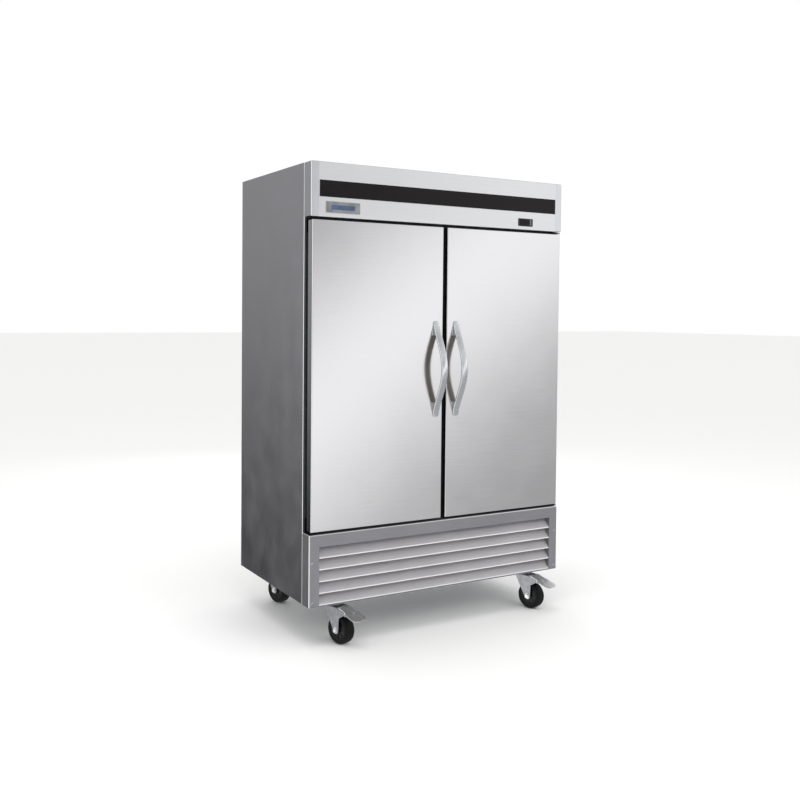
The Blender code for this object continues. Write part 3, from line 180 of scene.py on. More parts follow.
def stand_camera():
    yaw, pitch, roll = (math.radians(a) for a in (CAMERA_YAW, CAMERA_PITCH, CAMERA_ROLL))
    ahead = Vector((math.sin(yaw) * math.cos(pitch), math.cos(yaw) * math.cos(pitch), math.sin(pitch)))
    level_right = Vector((math.cos(yaw), -math.sin(yaw), 0))
    level_up = level_right.cross(ahead)
    right = math.cos(roll) * level_right + math.sin(roll) * level_up
    up = -math.sin(roll) * level_right + math.cos(roll) * level_up
    turn = Matrix((right, up, -ahead)).transposed().to_4x4()
    lens = bpy.data.cameras.new("camera")
    lens.lens = 42.09
    lens.sensor_width = 36.0
    lens.shift_x, lens.shift_y = 0.0266, -0.0709
    camera = bpy.data.objects.new("camera", lens)
    camera.matrix_world = Matrix.Translation(CAMERA_PLACE) @ turn
    scene.collection.objects.link(camera)
    scene.camera = camera


scene.view_settings.view_transform = "Standard"
light_the_room()
soft_box("front_soft_box", (1.6, -4.2, 3.4), (0, 0, 1.0), (2.6, 2.0), 45)
soft_box("top_soft_box", (-0.6, -0.4, 4.4), (0, 0, 1.0), (3.0, 3.0), 45)
soft_box("back_soft_box", (1.5, 4.4, 2.6), (0, 0, 1.0), (2.6, 2.0), 25)
lay_floor()
stand_camera()


# --------------------------------------------------------------------------------- carcass
# Outer skins of the cabinet: two side panels of grey coated steel that turn in a short flange at
# the front, and a galvanised back and top.  They are folded sheet, riveted before foaming, so
# every outer edge is a bend of about a millimetre.
SHEET = 0.0012
SIDE_BEND = 0.0030


def new_material(name):
    material = bpy.data.materials.new(name)
    material.use_nodes = True
    tree = material.node_tree
    return material, tree, tree.nodes["Principled BSDF"]


def coated_steel(name, colour):
    """Steel sheet with a baked semi-matt lacquer: a fine orange peel, 2 mm from crest to crest,
    blurs what it reflects, and handling leaves faint cloudy patches a hand wide."""
    material, tree, shader = new_material(name)
    place = add_node(tree, "ShaderNodeTexCoord").outputs["Object"]
    clouds = add_node(tree, "ShaderNodeTexNoise", {"Scale": 1 / 0.120, "Detail": 3.0}, {"Vector": place}).outputs[0]
    peel = add_node(tree, "ShaderNodeTexNoise", {"Scale": 1 / 0.002, "Detail": 1.0}, {"Vector": place}).outputs[0]
    tint = add_node(tree, "ShaderNodeMix", {"data_type": "RGBA", 6: srgb(colour), 7: srgb("#b4b5b9")},
                    {0: add_node(tree, "ShaderNodeMapRange", {"From Min": 0.3, "From Max": 0.8, "To Max": 0.25},
                                 {"Value": clouds}).outputs[0]})
    tree.links.new(tint.outputs[2], shader.inputs["Base Color"])
    shine = add_node(tree, "ShaderNodeMapRange", {"From Min": 0.3, "From Max": 0.7, "To Min": 0.28, "To Max": 0.36},
                     {"Value": clouds}).outputs[0]
    tree.links.new(shine, shader.inputs["Roughness"])
    bump = add_node(tree, "ShaderNodeBump", {"Strength": 0.10, "Distance": 0.0003}, {"Height": peel})
    tree.links.new(bump.outputs[0], shader.inputs["Normal"])
    shader.inputs["Metallic"].default_value = 0.96
    return material


def galvanised_steel(name):
    """Hot-dipped zinc: flat grey crystals (spangle) about 14 mm across, each a little lighter or
    darker than the next, with a soft, uneven shine."""
    material, tree, shader = new_material(name)
    place = add_node(tree, "ShaderNodeTexCoord").outputs["Object"]
    wander = add_node(tree, "ShaderNodeTexNoise", {"Scale": 1 / 0.010, "Detail": 2.0}, {"Vector": place}).outputs[0]
    drift = add_node(tree, "ShaderNodeMath", {"operation": "MULTIPLY", 1: 0.012}, {0: wander}).outputs[0]
    bent = add_node(tree, "ShaderNodeVectorMath", {"operation": "ADD"}, {0: place, 1: drift}).outputs[0]
    crystals = add_node(tree, "ShaderNodeTexVoronoi", {"Scale": 1 / 0.014}, {"Vector": bent}).outputs["Color"]
    shade = add_node(tree, "ShaderNodeSeparateColor", None, {0: crystals}).outputs[0]
    tint = add_node(tree, "ShaderNodeMix", {"data_type": "RGBA", 6: srgb("#8d9195"), 7: srgb("#b9bcbd")}, {0: shade})
    tree.links.new(tint.outputs[2], shader.inputs["Base Color"])
    shine = add_node(tree, "ShaderNodeMapRange", {"To Min": 0.34, "To Max": 0.52}, {"Value": shade}).outputs[0]
    tree.links.new(shine, shader.inputs["Roughness"])
    bump = add_node(tree, "ShaderNodeBump", {"Strength": 0.15, "Distance": 0.0002}, {"Height": shade})
    tree.links.new(bump.outputs[0], shader.inputs["Normal"])
    shader.inputs["Metallic"].default_value = 1.0
    return material


def round_edges(obj, radius, segments=3, bright=None):
    """Bends and broken edges: welds the facets' shared corners, then rounds the sharp edges.
    A bright metal, where one is given, goes on the bevels as a painted highlight along the bends."""
    weld = obj.modifiers.new("weld", "WELD")
    weld.merge_threshold = 0.00001
    bevel = obj.modifiers.new("edges", "BEVEL")
    bevel.width = radius
    bevel.segments = segments
    bevel.limit_method = "ANGLE"
    bevel.angle_limit = math.radians(40)
    bevel.use_clamp_overlap = True
    bevel.harden_normals = True
    if bright:
        obj.data.materials.append(bright)
        bevel.material = 1


def dress(node, material, radius=0.0, bright=None):
    """Gives a CAD node its finish and, where its edges show, their small radius."""
    obj = frame["nodes"][node]
    obj.data.materials.clear()
    obj.data.materials.append(material)
    if radius:
        round_edges(obj, radius, 3, bright)


def brushed_metal(name, dark, light, roughness, grain, streak=0.06, metallic=1.0):
    """Rolled sheet brushed with a belt: long fine scratches along one way, which streak the shine.
    grain is a scratch's length and pitch in mm along X, Y and Z; the real pitch is near 0.1 mm
    and is drawn coarser to show.  A wiped surface also keeps broad, barely visible clouds."""
    material, tree, shader = new_material(name)
    place = add_node(tree, "ShaderNodeTexCoord").outputs["Object"]
    along = add_node(tree, "ShaderNodeMapping", {"Scale": [1000 / size for size in grain]}, {"Vector": place})
    scratches = add_node(tree, "ShaderNodeTexNoise", {"Scale": 1.0, "Detail": 3.0, "Roughness": 0.6},
                         {"Vector": along.outputs[0]}).outputs[0]
    clouds = add_node(tree, "ShaderNodeTexNoise", {"Scale": 1 / 0.250, "Detail": 2.0}, {"Vector": place}).outputs[0]
    both = add_node(tree, "ShaderNodeMix", {"data_type": "FLOAT", 0: 0.45}, {2: scratches, 3: clouds}).outputs[0]
    even = add_node(tree, "ShaderNodeMapRange", {"From Min": 0.36, "From Max": 0.64}, {"Value": both}).outputs[0]
    tint = add_node(tree, "ShaderNodeMix", {"data_type": "RGBA", 6: srgb(dark), 7: srgb(light)}, {0: even})
    tree.links.new(tint.outputs[2], shader.inputs["Base Color"])
    shine = add_node(tree, "ShaderNodeMapRange", {"From Min": 0.3, "From Max": 0.7, "To Min": roughness - streak / 2,
                                                 "To Max": roughness + streak / 2}, {"Value": both}).outputs[0]
    tree.links.new(shine, shader.inputs["Roughness"])
    bump = add_node(tree, "ShaderNodeBump", {"Strength": 0.05, "Distance": 0.0001}, {"Height": scratches})
    tree.links.new(bump.outputs[0], shader.inputs["Normal"])
    shader.inputs["Metallic"].default_value = metallic
    return material


def piece(name, bm, material, body, replaces=(), radius=0.0, smooth=35, bright=None, oriented=False):
    """Makes a finished piece of a mesh in the frame's space and puts it on its body."""
    if not oriented:
        bmesh.ops.recalc_face_normals(bm, faces=bm.faces)
    mesh = bpy.data.meshes.new(name)
    bm.to_mesh(mesh)
    bm.free()
    mesh.materials.append(material)
    mesh.shade_smooth()
    mesh.set_sharp_from_angle(angle=math.radians(smooth))
    obj = bpy.data.objects.new(name, mesh)
    scene.collection.objects.link(obj)
    if radius:
        round_edges(obj, radius, 3, bright)
    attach(obj, body)
    if replaces:
        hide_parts(*replaces)
    return obj


def add_rings(bm, rings, closed_rings=False, caps=True):
    """Joins rings of points, each as long as the next, into a skin, with flat ends where open."""
    made = [[bm.verts.new(point) for point in ring] for ring in rings]
    pairs = list(zip(made, made[1:]))
    if closed_rings:
        pairs.append((made[-1], made[0]))
    for here, there in pairs:
        for i in range(len(here)):
            j = (i + 1) % len(here)
            bm.faces.new((here[i], here[j], there[j], there[i]))
    if caps and not closed_rings:
        bm.faces.new(made[0])
        bm.faces.new(list(reversed(made[-1])))


def bend_corners(corners, radius, steps=5):
    """A path whose inner corners are bent round instead of sharp."""
    corners = [Vector(corner) for corner in corners]
    path = [corners[0]]
    for before, corner, after in zip(corners, corners[1:], corners[2:]):
        into, out = (before - corner).normalized(), (after - corner).normalized()
        half = into.angle(out) / 2
        centre = corner + (into + out).normalized() * radius / math.sin(half)
        first = corner + into * radius / math.tan(half) - centre
        last = corner + out * radius / math.tan(half) - centre
        swing = first.angle(last)
        for i in range(steps + 1):
            share = i / steps
            path.append(centre + (first * math.sin((1 - share) * swing) + last * math.sin(share * swing))
                        / math.sin(swing))
    path.append(corners[-1])
    return path


def side_panel(name, side):
    """Folded side skin: the front edge bends through a right angle into a narrow flange."""
    low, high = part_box(name)
    outer, inner = (low.x, high.x) if side < 0 else (high.x, low.x)
    bend = [Vector((outer, high.y, 0)), Vector((outer, low.y, 0)), Vector((inner, low.y, 0))]
    skin = bend_corners(bend, SIDE_BEND, 6)
    lining = bend_corners([bend[0] - Vector((side * SHEET, 0, 0)), Vector((outer - side * SHEET, low.y + SHEET, 0)),
                           Vector((inner, low.y + SHEET, 0))], SIDE_BEND - SHEET, 6)
    outline = skin + list(reversed(lining))
    bm = bmesh.new()
    add_rings(bm, [[point + Vector((0, 0, z)) for point in outline] for z in (low.z, high.z)])
    bm.faces.ensure_lookup_table()
    # The faces round the front bend take the very light steel: a painted highlight along the fold.
    for face in bm.faces:
        middle = face.calc_center_median()
        if abs(middle.x - outer) < SIDE_BEND and middle.y < low.y + SIDE_BEND and abs(face.normal.z) < 0.5:
            face.material_index = 1
    obj = piece(f"{name}_skin", bm, side_steel, "cabinet", [name])
    obj.data.materials.append(burnished)


side_steel = coated_steel("coated_steel_grey", "#bbbbbf")
# Very light steel: on the folds and bends it is a painted highlight; the caster axle nuts are made of it too.
burnished = brushed_metal("stainless_steel_burnished", "#e4e4e6", "#ececee", 0.24, (3, 3, 60))
zinc_sheet = galvanised_steel("galvanised_steel_spangled")
side_panel("left_side_panel", -1)
side_panel("right_side_panel", 1)
for panel in ("back_panel", "top_panel"):
    dress(panel, zinc_sheet)


# ------------------------------------------------------------------- foam, liner and door frame
# The shell is foamed in place between the skins and a bright aluminium liner.  A black PVC
# frame with a mullion closes the front and breaks the thermal path; the gaskets seal against it.
def foam(name):
    """Rigid polyurethane foam: straw-coloured skin with closed cells, 1.5 mm across so that they
    show, and no shine at all."""
    material, tree, shader = new_material(name)
    place = add_node(tree, "ShaderNodeTexCoord").outputs["Object"]
    cells = add_node(tree, "ShaderNodeTexVoronoi", {"Scale": 1 / 0.0015}, {"Vector": place}).outputs["Distance"]
    tint = add_node(tree, "ShaderNodeMix", {"data_type": "RGBA", 6: srgb("#c9a866"), 7: srgb("#e6d3a2")}, {0: cells})
    tree.links.new(tint.outputs[2], shader.inputs["Base Color"])
    bump = add_node(tree, "ShaderNodeBump", {"Strength": 0.5, "Distance": 0.0005}, {"Height": cells})
    tree.links.new(bump.outputs[0], shader.inputs["Normal"])
    shader.inputs["Roughness"].default_value = 0.95
    return material


def moulded_plastic(name, dark, light, roughness, texture_mm, gloss=0.5):
    """Injection-moulded plastic or rubber: one body colour that dust and rubbing lighten a little
    in patches, and the tool's fine spark-eroded texture, which breaks up the shine."""
    material, tree, shader = new_material(name)
    place = add_node(tree, "ShaderNodeTexCoord").outputs["Object"]
    rubbed = add_node(tree, "ShaderNodeTexNoise", {"Scale": 1 / 0.035, "Detail": 4.0}, {"Vector": place}).outputs[0]
    texture = add_node(tree, "ShaderNodeTexNoise", {"Scale": 1000 / texture_mm, "Detail": 2.0},
                       {"Vector": place}).outputs[0]
    worn = add_node(tree, "ShaderNodeMapRange", {"From Min": 0.45, "From Max": 0.75}, {"Value": rubbed}).outputs[0]
    tint = add_node(tree, "ShaderNodeMix", {"data_type": "RGBA", 6: srgb(dark), 7: srgb(light)}, {0: worn})
    tree.links.new(tint.outputs[2], shader.inputs["Base Color"])
    shine = add_node(tree, "ShaderNodeMapRange", {"From Min": 0.3, "From Max": 0.7, "To Min": roughness - 0.06,
                                                 "To Max": roughness + 0.06}, {"Value": rubbed}).outputs[0]
    tree.links.new(shine, shader.inputs["Roughness"])
    bump = add_node(tree, "ShaderNodeBump", {"Strength": 0.2, "Distance": 0.0002}, {"Height": texture})
    tree.links.new(bump.outputs[0], shader.inputs["Normal"])
    shader.inputs["Specular IOR Level"].default_value = gloss
    return material


stainless = brushed_metal("stainless_steel_brushed", "#cbcacb", "#d2d1d2", 0.15, (160, 3, 3))
stainless_inside = brushed_metal("stainless_steel_satin", "#b9b8b7", "#c6c5c4", 0.30, (160, 3, 3))
aluminium = brushed_metal("aluminium_mill_finish", "#c4c7ca", "#d3d5d7", 0.34, (4, 4, 200))
polyurethane = foam("polyurethane_foam")
# The frame's teal-tinted charcoal is partly dark PVC and partly painted shade, so that the gap between the doors reads
# dark.
breaker_pvc_and_gap_shade = moulded_plastic("pvc_extruded_charcoal_gap_shade", "#292e2f", "#333839", 0.50, 0.8, 0.3)
dress("cabinet_insulation", polyurethane)
dress("interior_liner", aluminium, 0.0006)
dress("breaker_frame", breaker_pvc_and_gap_shade, 0.0012)


# --------------------------------------------------------------------------------- casters
# Four plate casters screwed to the chassis tray: zinc-plated pressed forks with a double ball
# race, black rubber tyres on dark nylon cores, and on the front pair a foot pedal that clamps
# the wheel.
CORE_RADIUS = 0.044
TYRE_CROWN = 0.0030
PEDAL_TILT = math.radians(18.0)
WHEEL_HALF = 0.025


def zinc_plate(name, dark, light, roughness, frosting=0.12):
    """Bright zinc plating on pressed steel: a cool grey with faint bluish patches a thumb wide
    and a fine frosting that softens the reflections."""
    material, tree, shader = new_material(name)
    place = add_node(tree, "ShaderNodeTexCoord").outputs["Object"]
    patches = add_node(tree, "ShaderNodeTexNoise", {"Scale": 1 / 0.022, "Detail": 4.0}, {"Vector": place}).outputs[0]
    frost = add_node(tree, "ShaderNodeTexNoise", {"Scale": 1 / 0.0012, "Detail": 2.0}, {"Vector": place}).outputs[0]
    even = add_node(tree, "ShaderNodeMapRange", {"From Min": 0.35, "From Max": 0.65}, {"Value": patches}).outputs[0]
    tint = add_node(tree, "ShaderNodeMix", {"data_type": "RGBA", 6: srgb(dark), 7: srgb(light)}, {0: even})
    tree.links.new(tint.outputs[2], shader.inputs["Base Color"])
    shine = add_node(tree, "ShaderNodeMapRange", {"From Min": 0.3, "From Max": 0.7, "To Min": roughness - 0.05,
                                                 "To Max": roughness + 0.05}, {"Value": patches}).outputs[0]
    tree.links.new(shine, shader.inputs["Roughness"])
    bump = add_node(tree, "ShaderNodeBump", {"Strength": frosting, "Distance": 0.0002}, {"Height": frost})
    tree.links.new(bump.outputs[0], shader.inputs["Normal"])
    shader.inputs["Metallic"].default_value = 1.0
    return material


def add_block(bm, corner, opposite):
    low = Vector(map(min, corner, opposite))
    size = Vector(map(max, corner, opposite)) - low
    middle = Matrix.Translation(low + size / 2)
    bmesh.ops.create_cube(bm, size=1.0, matrix=middle @ Matrix.Diagonal((*size, 1.0)))


def add_turned(bm, profile, centre, axis, steps=40):
    """Spins a closed profile of (radius, distance along the axis) about an axis through centre."""
    axis = Vector(axis).normalized()
    turn = axis.to_track_quat("Z", "Y").to_matrix()
    rings = []
    for i in range(steps):
        angle = math.tau * i / steps
        out = turn @ Vector((math.cos(angle), math.sin(angle), 0))
        rings.append([Vector(centre) + out * radius + axis * along for radius, along in profile])
    add_rings(bm, rings, closed_rings=True)


def rod(radius, start, end, chamfer=0.0):
    """Profile of a solid bar for add_turned, with a pinhole axis and broken ends."""
    pin = radius / 1000
    return [(pin, start), (radius - chamfer, start), (radius, start + chamfer), (radius, end - chamfer),
            (radius - chamfer, end), (pin, end)]


def add_tube(bm, points, radius, sides=8, closed=False):
    """A round bar or pipe along a line of points."""
    points = [Vector(point) for point in points]
    rings = []
    side = None
    for i, point in enumerate(points):
        before = points[i - 1] if i or closed else point
        after = points[(i + 1) % len(points)] if i + 1 < len(points) or closed else point
        ahead = (after - before).normalized()
        if side is None:
            side = ahead.orthogonal().normalized()
        side = (side - ahead * side.dot(ahead)).normalized()
        up = ahead.cross(side)
        rings.append([point + radius * (side * math.cos(a) + up * math.sin(a))
                      for a in (math.tau * k / sides for k in range(sides))])
    if closed:
        made = [[bm.verts.new(p) for p in ring] for ring in rings]
        last = made[-1]
        shift = min(range(sides), key=lambda s: (rings[-1][s] - rings[0][0]).length)
        last = last[shift:] + last[:shift]
        for here, there in list(zip(made[:-1], made[1:])):
            for k in range(sides):
                bm.faces.new((here[k], here[(k + 1) % sides], there[(k + 1) % sides], there[k]))
        for k in range(sides):
            bm.faces.new((last[k], last[(k + 1) % sides], made[0][(k + 1) % sides], made[0][k]))
    else:
        add_rings(bm, rings)


def local_frame(origin, across):
    """Space with its origin in a joint, X along the axle and Z up."""
    x = Vector(across).normalized()
    z = Vector((0, 0, 1))
    y = z.cross(x)
    return Matrix.Translation(origin) @ Matrix((x, y, z)).transposed().to_4x4()


fork_zinc = zinc_plate("zinc_plated_steel", "#8e9093", "#a5a7a9", 0.34)
pedal_zinc = zinc_plate("zinc_plated_steel_pedal", "#dcdddf", "#e9eaeb", 0.42)
rubber = moulded_plastic("rubber_moulded_black", "#0b0b0c", "#161617", 0.60, 0.9, 0.2)
nylon = moulded_plastic("nylon_moulded_dark", "#131314", "#1f1f21", 0.42, 0.6, 0.35)
dress("base_frame", zinc_sheet, 0.0008)


def wheel(place, body, axle, across):
    """Tyre with a crowned tread and a bead line on each wall, on a ribbed core with a bearing cap."""
    low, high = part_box(f"caster_wheel_{place}")
    radius = (high.z - low.z) / 2
    half = WHEEL_HALF
    tyre_half = [(CORE_RADIUS, half - 0.0035), (CORE_RADIUS + 0.0015, half - 0.0010), (CORE_RADIUS + 0.0045, half),
                 (radius - 0.0085, half), (radius - 0.0075, half - 0.0008), (radius - 0.0065, half),
                 (radius - 0.0040, half - 0.0012), (radius - 0.0018, half - 0.0040),
                 (radius - 0.0006, half - 0.0085), (radius, half - 0.0160)]
    tyre = tyre_half + [(r, -along) for r, along in reversed(tyre_half)]
    bm = bmesh.new()
    add_turned(bm, tyre, axle, across, 72)
    piece(f"caster_tyre_{place}", bm, rubber, body, [f"caster_wheel_{place}"])

    bore = 0.0068
    core_half = [(bore, half - 0.0005), (0.0105, half - 0.0005), (0.0120, half - 0.0020), (0.0165, half - 0.0020),
                 (0.0175, half - 0.0065), (CORE_RADIUS - 0.0080, half - 0.0085), (CORE_RADIUS - 0.0040, half - 0.0040),
                 (CORE_RADIUS - 0.0003, half - 0.0036)]
    core = core_half + [(r, -along) for r, along in reversed(core_half)]
    bm = bmesh.new()
    add_turned(bm, core, axle, across, 64)
    space = local_frame(axle, across)
    ribs = 8
    for side in (-1, 1):
        for i in range(ribs):
            rib = bmesh.new()
            add_block(rib, (side * (half - 0.0090), -0.0011, 0.0170), (side * (half - 0.0046), 0.0011, CORE_RADIUS - 0.004))
            bmesh.ops.transform(rib, matrix=space @ Matrix.Rotation(math.tau * i / ribs, 4, "X"), verts=rib.verts)
            copy = bpy.data.meshes.new("rib")
            rib.to_mesh(copy)
            rib.free()
            bm.from_mesh(copy)
            bpy.data.meshes.remove(copy)
    piece(f"caster_core_{place}", bm, nylon, body)


def fork_fittings(place, body, swivel, axle, across):
    """Ball race under the plate, and the axle's lock nut and bolt head outside the fork."""
    low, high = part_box(f"caster_fork_{place}")
    dress(f"caster_fork_{place}", fork_zinc, 0.0008)
    top = high.z
    race = bmesh.new()
    ring = [(0.0265, -0.0135), (0.0300, -0.0120), (0.0310, -0.0085), (0.0290, -0.0065), (0.0290, -0.0050),
            (0.0315, -0.0035), (0.0315, -0.0005), (0.0265, -0.0002)]
    add_turned(race, ring, (swivel.x, swivel.y, top), (0, 0, 1), 48)
    piece(f"caster_race_{place}", race, fork_zinc, body)
    nuts = bmesh.new()
    outer = WHEEL_HALF + 0.0082
    for side in (-1, 1):
        ends = [(0.0042, side * outer), (0.0135, side * outer), (0.0135, side * (outer + 0.0014)),
                (0.0042, side * (outer + 0.0014))]
        add_turned(nuts, ends, axle, across, 24)
        ends = [(0.0010, side * (outer + 0.0014)), (0.0112, side * (outer + 0.0014)), (0.0112, side * (outer + 0.0070)),
                (0.0098, side * (outer + 0.0080)), (0.0010, side * (outer + 0.0080))]
        add_turned(nuts, ends, axle, across, 6)
    # The nuts are bright plated metal, drawn very light so that they also carry a painted highlight.
    piece(f"caster_axle_nuts_{place}", nuts, burnished, body, smooth=20)


def pedal(place, body, pivot, across):
    """Pressed sheet pedal: a channel at the pivot that widens to a rounded paddle with grip bars."""
    space = local_frame(pivot, across) @ Matrix.Rotation(PEDAL_TILT, 4, "X")
    length, back, neck = 0.108, 0.012, 0.034
    neck_half, wide_half, corner, lift = 0.0288, 0.040, 0.026, 0.0115
    columns = 12
    rows = 34

    def half_width(s):
        """s runs from the pivot towards the tip."""
        if s < neck:
            return neck_half
        flare = min((s - neck) / 0.012, 1.0)
        half = neck_half + (wide_half - neck_half) * (3 * flare ** 2 - 2 * flare ** 3)
        into_tip = s - (length - corner)
        if into_tip > 0:
            half -= corner - math.sqrt(max(corner ** 2 - into_tip ** 2, 0))
        return half

    bm = bmesh.new()
    grid = []
    for r in range(rows + 1):
        s = -back + (length + back) * r / rows
        s = min(s, length - 0.0004)
        half = half_width(s)
        bar = 0.0012 * max(0.0, math.sin((s - 0.062) * math.tau / 0.010)) if 0.062 < s < 0.097 else 0.0
        line = []
        for c in range(columns + 1):
            across_share = 2 * c / columns - 1
            droop = 0.0022 * across_share ** 4 * min(max(s - neck, 0) / 0.02, 1.0)
            flat = 1 - across_share ** 4
            line.append(bm.verts.new((half * across_share, -s, lift - droop + bar * flat)))
        grid.append(line)
    for r in range(rows):
        for c in range(columns):
            s = -back + (length + back) * (r + 0.5) / rows
            in_slot = 0.040 < s < 0.053 and columns / 2 - 1 <= c < columns / 2 + 1
            if not in_slot:
                bm.faces.new((grid[r][c], grid[r][c + 1], grid[r + 1][c + 1], grid[r + 1][c]))
    flange_rows = [line for r, line in enumerate(grid) if -back + (length + back) * r / rows <= neck + 0.004]
    for edge in (0, columns):
        lower = [bm.verts.new((line[edge].co.x, line[edge].co.y, -0.0045)) for line in flange_rows]
        for here, there, below_here, below_there in zip(flange_rows, flange_rows[1:], lower, lower[1:]):
            bm.faces.new((here[edge], there[edge], below_there, below_here))
    bmesh.ops.transform(bm, matrix=space, verts=bm.verts)
    obj = piece(f"brake_pedal_plate_{place}", bm, pedal_zinc, body, [f"brake_pedal_{place}"])
    thick = obj.modifiers.new("sheet", "SOLIDIFY")
    thick.thickness = 0.0026
    thick.offset = 0.0
    thick.use_even_offset = True
    bevel = obj.modifiers.new("edges", "BEVEL")
    bevel.width = 0.0006
    bevel.segments = 2
    bevel.angle_limit = math.radians(50)

    pin = bmesh.new()
    add_turned(pin, rod(0.0030, -0.0285, 0.0285, 0.0006), pivot, across, 20)
    piece(f"brake_pedal_pin_{place}", pin, fork_zinc, body)


for place in ("front_left", "front_right", "rear_left", "rear_right"):
    spin = joints[f"wheel_{place}_spin"]
    swivel = Vector(joints[f"caster_{place}_swivel"]["pos_m"])
    axle = Vector(spin["pos_m"])
    wheel(place, f"wheel_{place}", axle, spin["axis"])
    fork_fittings(place, f"caster_{place}", swivel, axle, spin["axis"])
    if place.startswith("front"):
        tilt = joints[f"brake_pedal_{place}_tilt"]
        pedal(place, f"brake_pedal_{place}", Vector(tilt["pos_m"]), tilt["axis"])


# ----------------------------------------------------------------------- refrigeration unit
# The condensing unit stands on the chassis tray behind the louvres: a copper and aluminium
# condenser with its fan, a hermetic compressor in black enamel, brazed copper lines with a filter
# drier, a plastic pan for the melt water and a terminal box for the supply.
FIN_PITCH = 0.0040
TUBE_RADIUS = 0.0045


def copper_tube(name):
    """Annealed copper pipe: salmon metal that handling and brazing darken to brown in drifts a
    few centimetres long."""
    material, tree, shader = new_material(name)
    place = add_node(tree, "ShaderNodeTexCoord").outputs["Object"]
    drifts = add_node(tree, "ShaderNodeTexNoise", {"Scale": 1 / 0.040, "Detail": 5.0}, {"Vector": place}).outputs[0]
    even = add_node(tree, "ShaderNodeMapRange", {"From Min": 0.4, "From Max": 0.7}, {"Value": drifts}).outputs[0]
    tint = add_node(tree, "ShaderNodeMix", {"data_type": "RGBA", 6: srgb("#c98a63"), 7: srgb("#7d4d35")}, {0: even})
    tree.links.new(tint.outputs[2], shader.inputs["Base Color"])
    shine = add_node(tree, "ShaderNodeMapRange", {"To Min": 0.24, "To Max": 0.46}, {"Value": even}).outputs[0]
    tree.links.new(shine, shader.inputs["Roughness"])
    shader.inputs["Metallic"].default_value = 1.0
    return material


def baked_enamel(name, colour):
    """Stoved enamel on drawn steel: deep gloss with a soft orange peel 4 mm across."""
    material, tree, shader = new_material(name)
    place = add_node(tree, "ShaderNodeTexCoord").outputs["Object"]
    peel = add_node(tree, "ShaderNodeTexNoise", {"Scale": 1 / 0.004, "Detail": 1.0}, {"Vector": place}).outputs[0]
    dust = add_node(tree, "ShaderNodeTexNoise", {"Scale": 1 / 0.060, "Detail": 5.0}, {"Vector": place}).outputs[0]
    even = add_node(tree, "ShaderNodeMapRange", {"From Min": 0.5, "From Max": 0.8}, {"Value": dust}).outputs[0]
    tint = add_node(tree, "ShaderNodeMix", {"data_type": "RGBA", 6: srgb(colour), 7: srgb("#3a3a3b")}, {0: even})
    tree.links.new(tint.outputs[2], shader.inputs["Base Color"])
    shine = add_node(tree, "ShaderNodeMapRange", {"To Min": 0.20, "To Max": 0.42}, {"Value": even}).outputs[0]
    tree.links.new(shine, shader.inputs["Roughness"])
    bump = add_node(tree, "ShaderNodeBump", {"Strength": 0.15, "Distance": 0.0003}, {"Height": peel})
    tree.links.new(bump.outputs[0], shader.inputs["Normal"])
    return material


copper = copper_tube("copper_annealed")
black_enamel = baked_enamel("enamel_black_stoved", "#101011")
black_plastic = moulded_plastic("polypropylene_black", "#151516", "#232324", 0.42, 0.8)
grey_plastic = moulded_plastic("abs_grey_moulded", "#747a80", "#868b90", 0.42, 0.7)
fin_metal = brushed_metal("aluminium_fin_stock", "#b7babd", "#c6c8ca", 0.36, (3, 3, 60))


def coil(name, node, margin, rows_deep, rows_high):
    """Fin-and-tube coil: thin aluminium fins, 4 mm apart where the real ones are 2, on copper
    hairpins whose return bends stand outside the end plates."""
    low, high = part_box(node)
    first, last = low.x + margin, high.x - margin
    fins = bmesh.new()
    count = int((last - first) / FIN_PITCH)
    for i in range(count + 1):
        x = first + i * (last - first) / count
        thick = 0.0007 if i in (0, count) else 0.00015
        add_block(fins, (x - thick, low.y, low.z), (x + thick, high.y, high.z))
    piece(f"{name}_fins", fins, fin_metal, "cabinet", [node])
    tubes = bmesh.new()
    step_z = (high.z - low.z) / rows_high
    step_y = (high.y - low.y) / rows_deep
    for j in range(rows_deep):
        y = low.y + step_y * (j + 0.5)
        for k in range(rows_high):
            z = low.z + step_z * (k + 0.5)
            add_tube(tubes, [(low.x + margin / 2, y, z), (high.x - margin / 2, y, z)], TUBE_RADIUS, 8)
        for k in range(rows_high - 1):
            z = low.z + step_z * (k + 1)
            side, x = (1, high.x - margin / 2) if k % 2 else (-1, low.x + margin / 2)
            bend = [(x + side * margin * 0.45 * math.sin(math.pi * t / 8), y,
                     z - step_z / 2 * math.cos(math.pi * t / 8)) for t in range(9)]
            add_tube(tubes, bend, TUBE_RADIUS, 8)
    piece(f"{name}_tubes", tubes, copper, "cabinet")


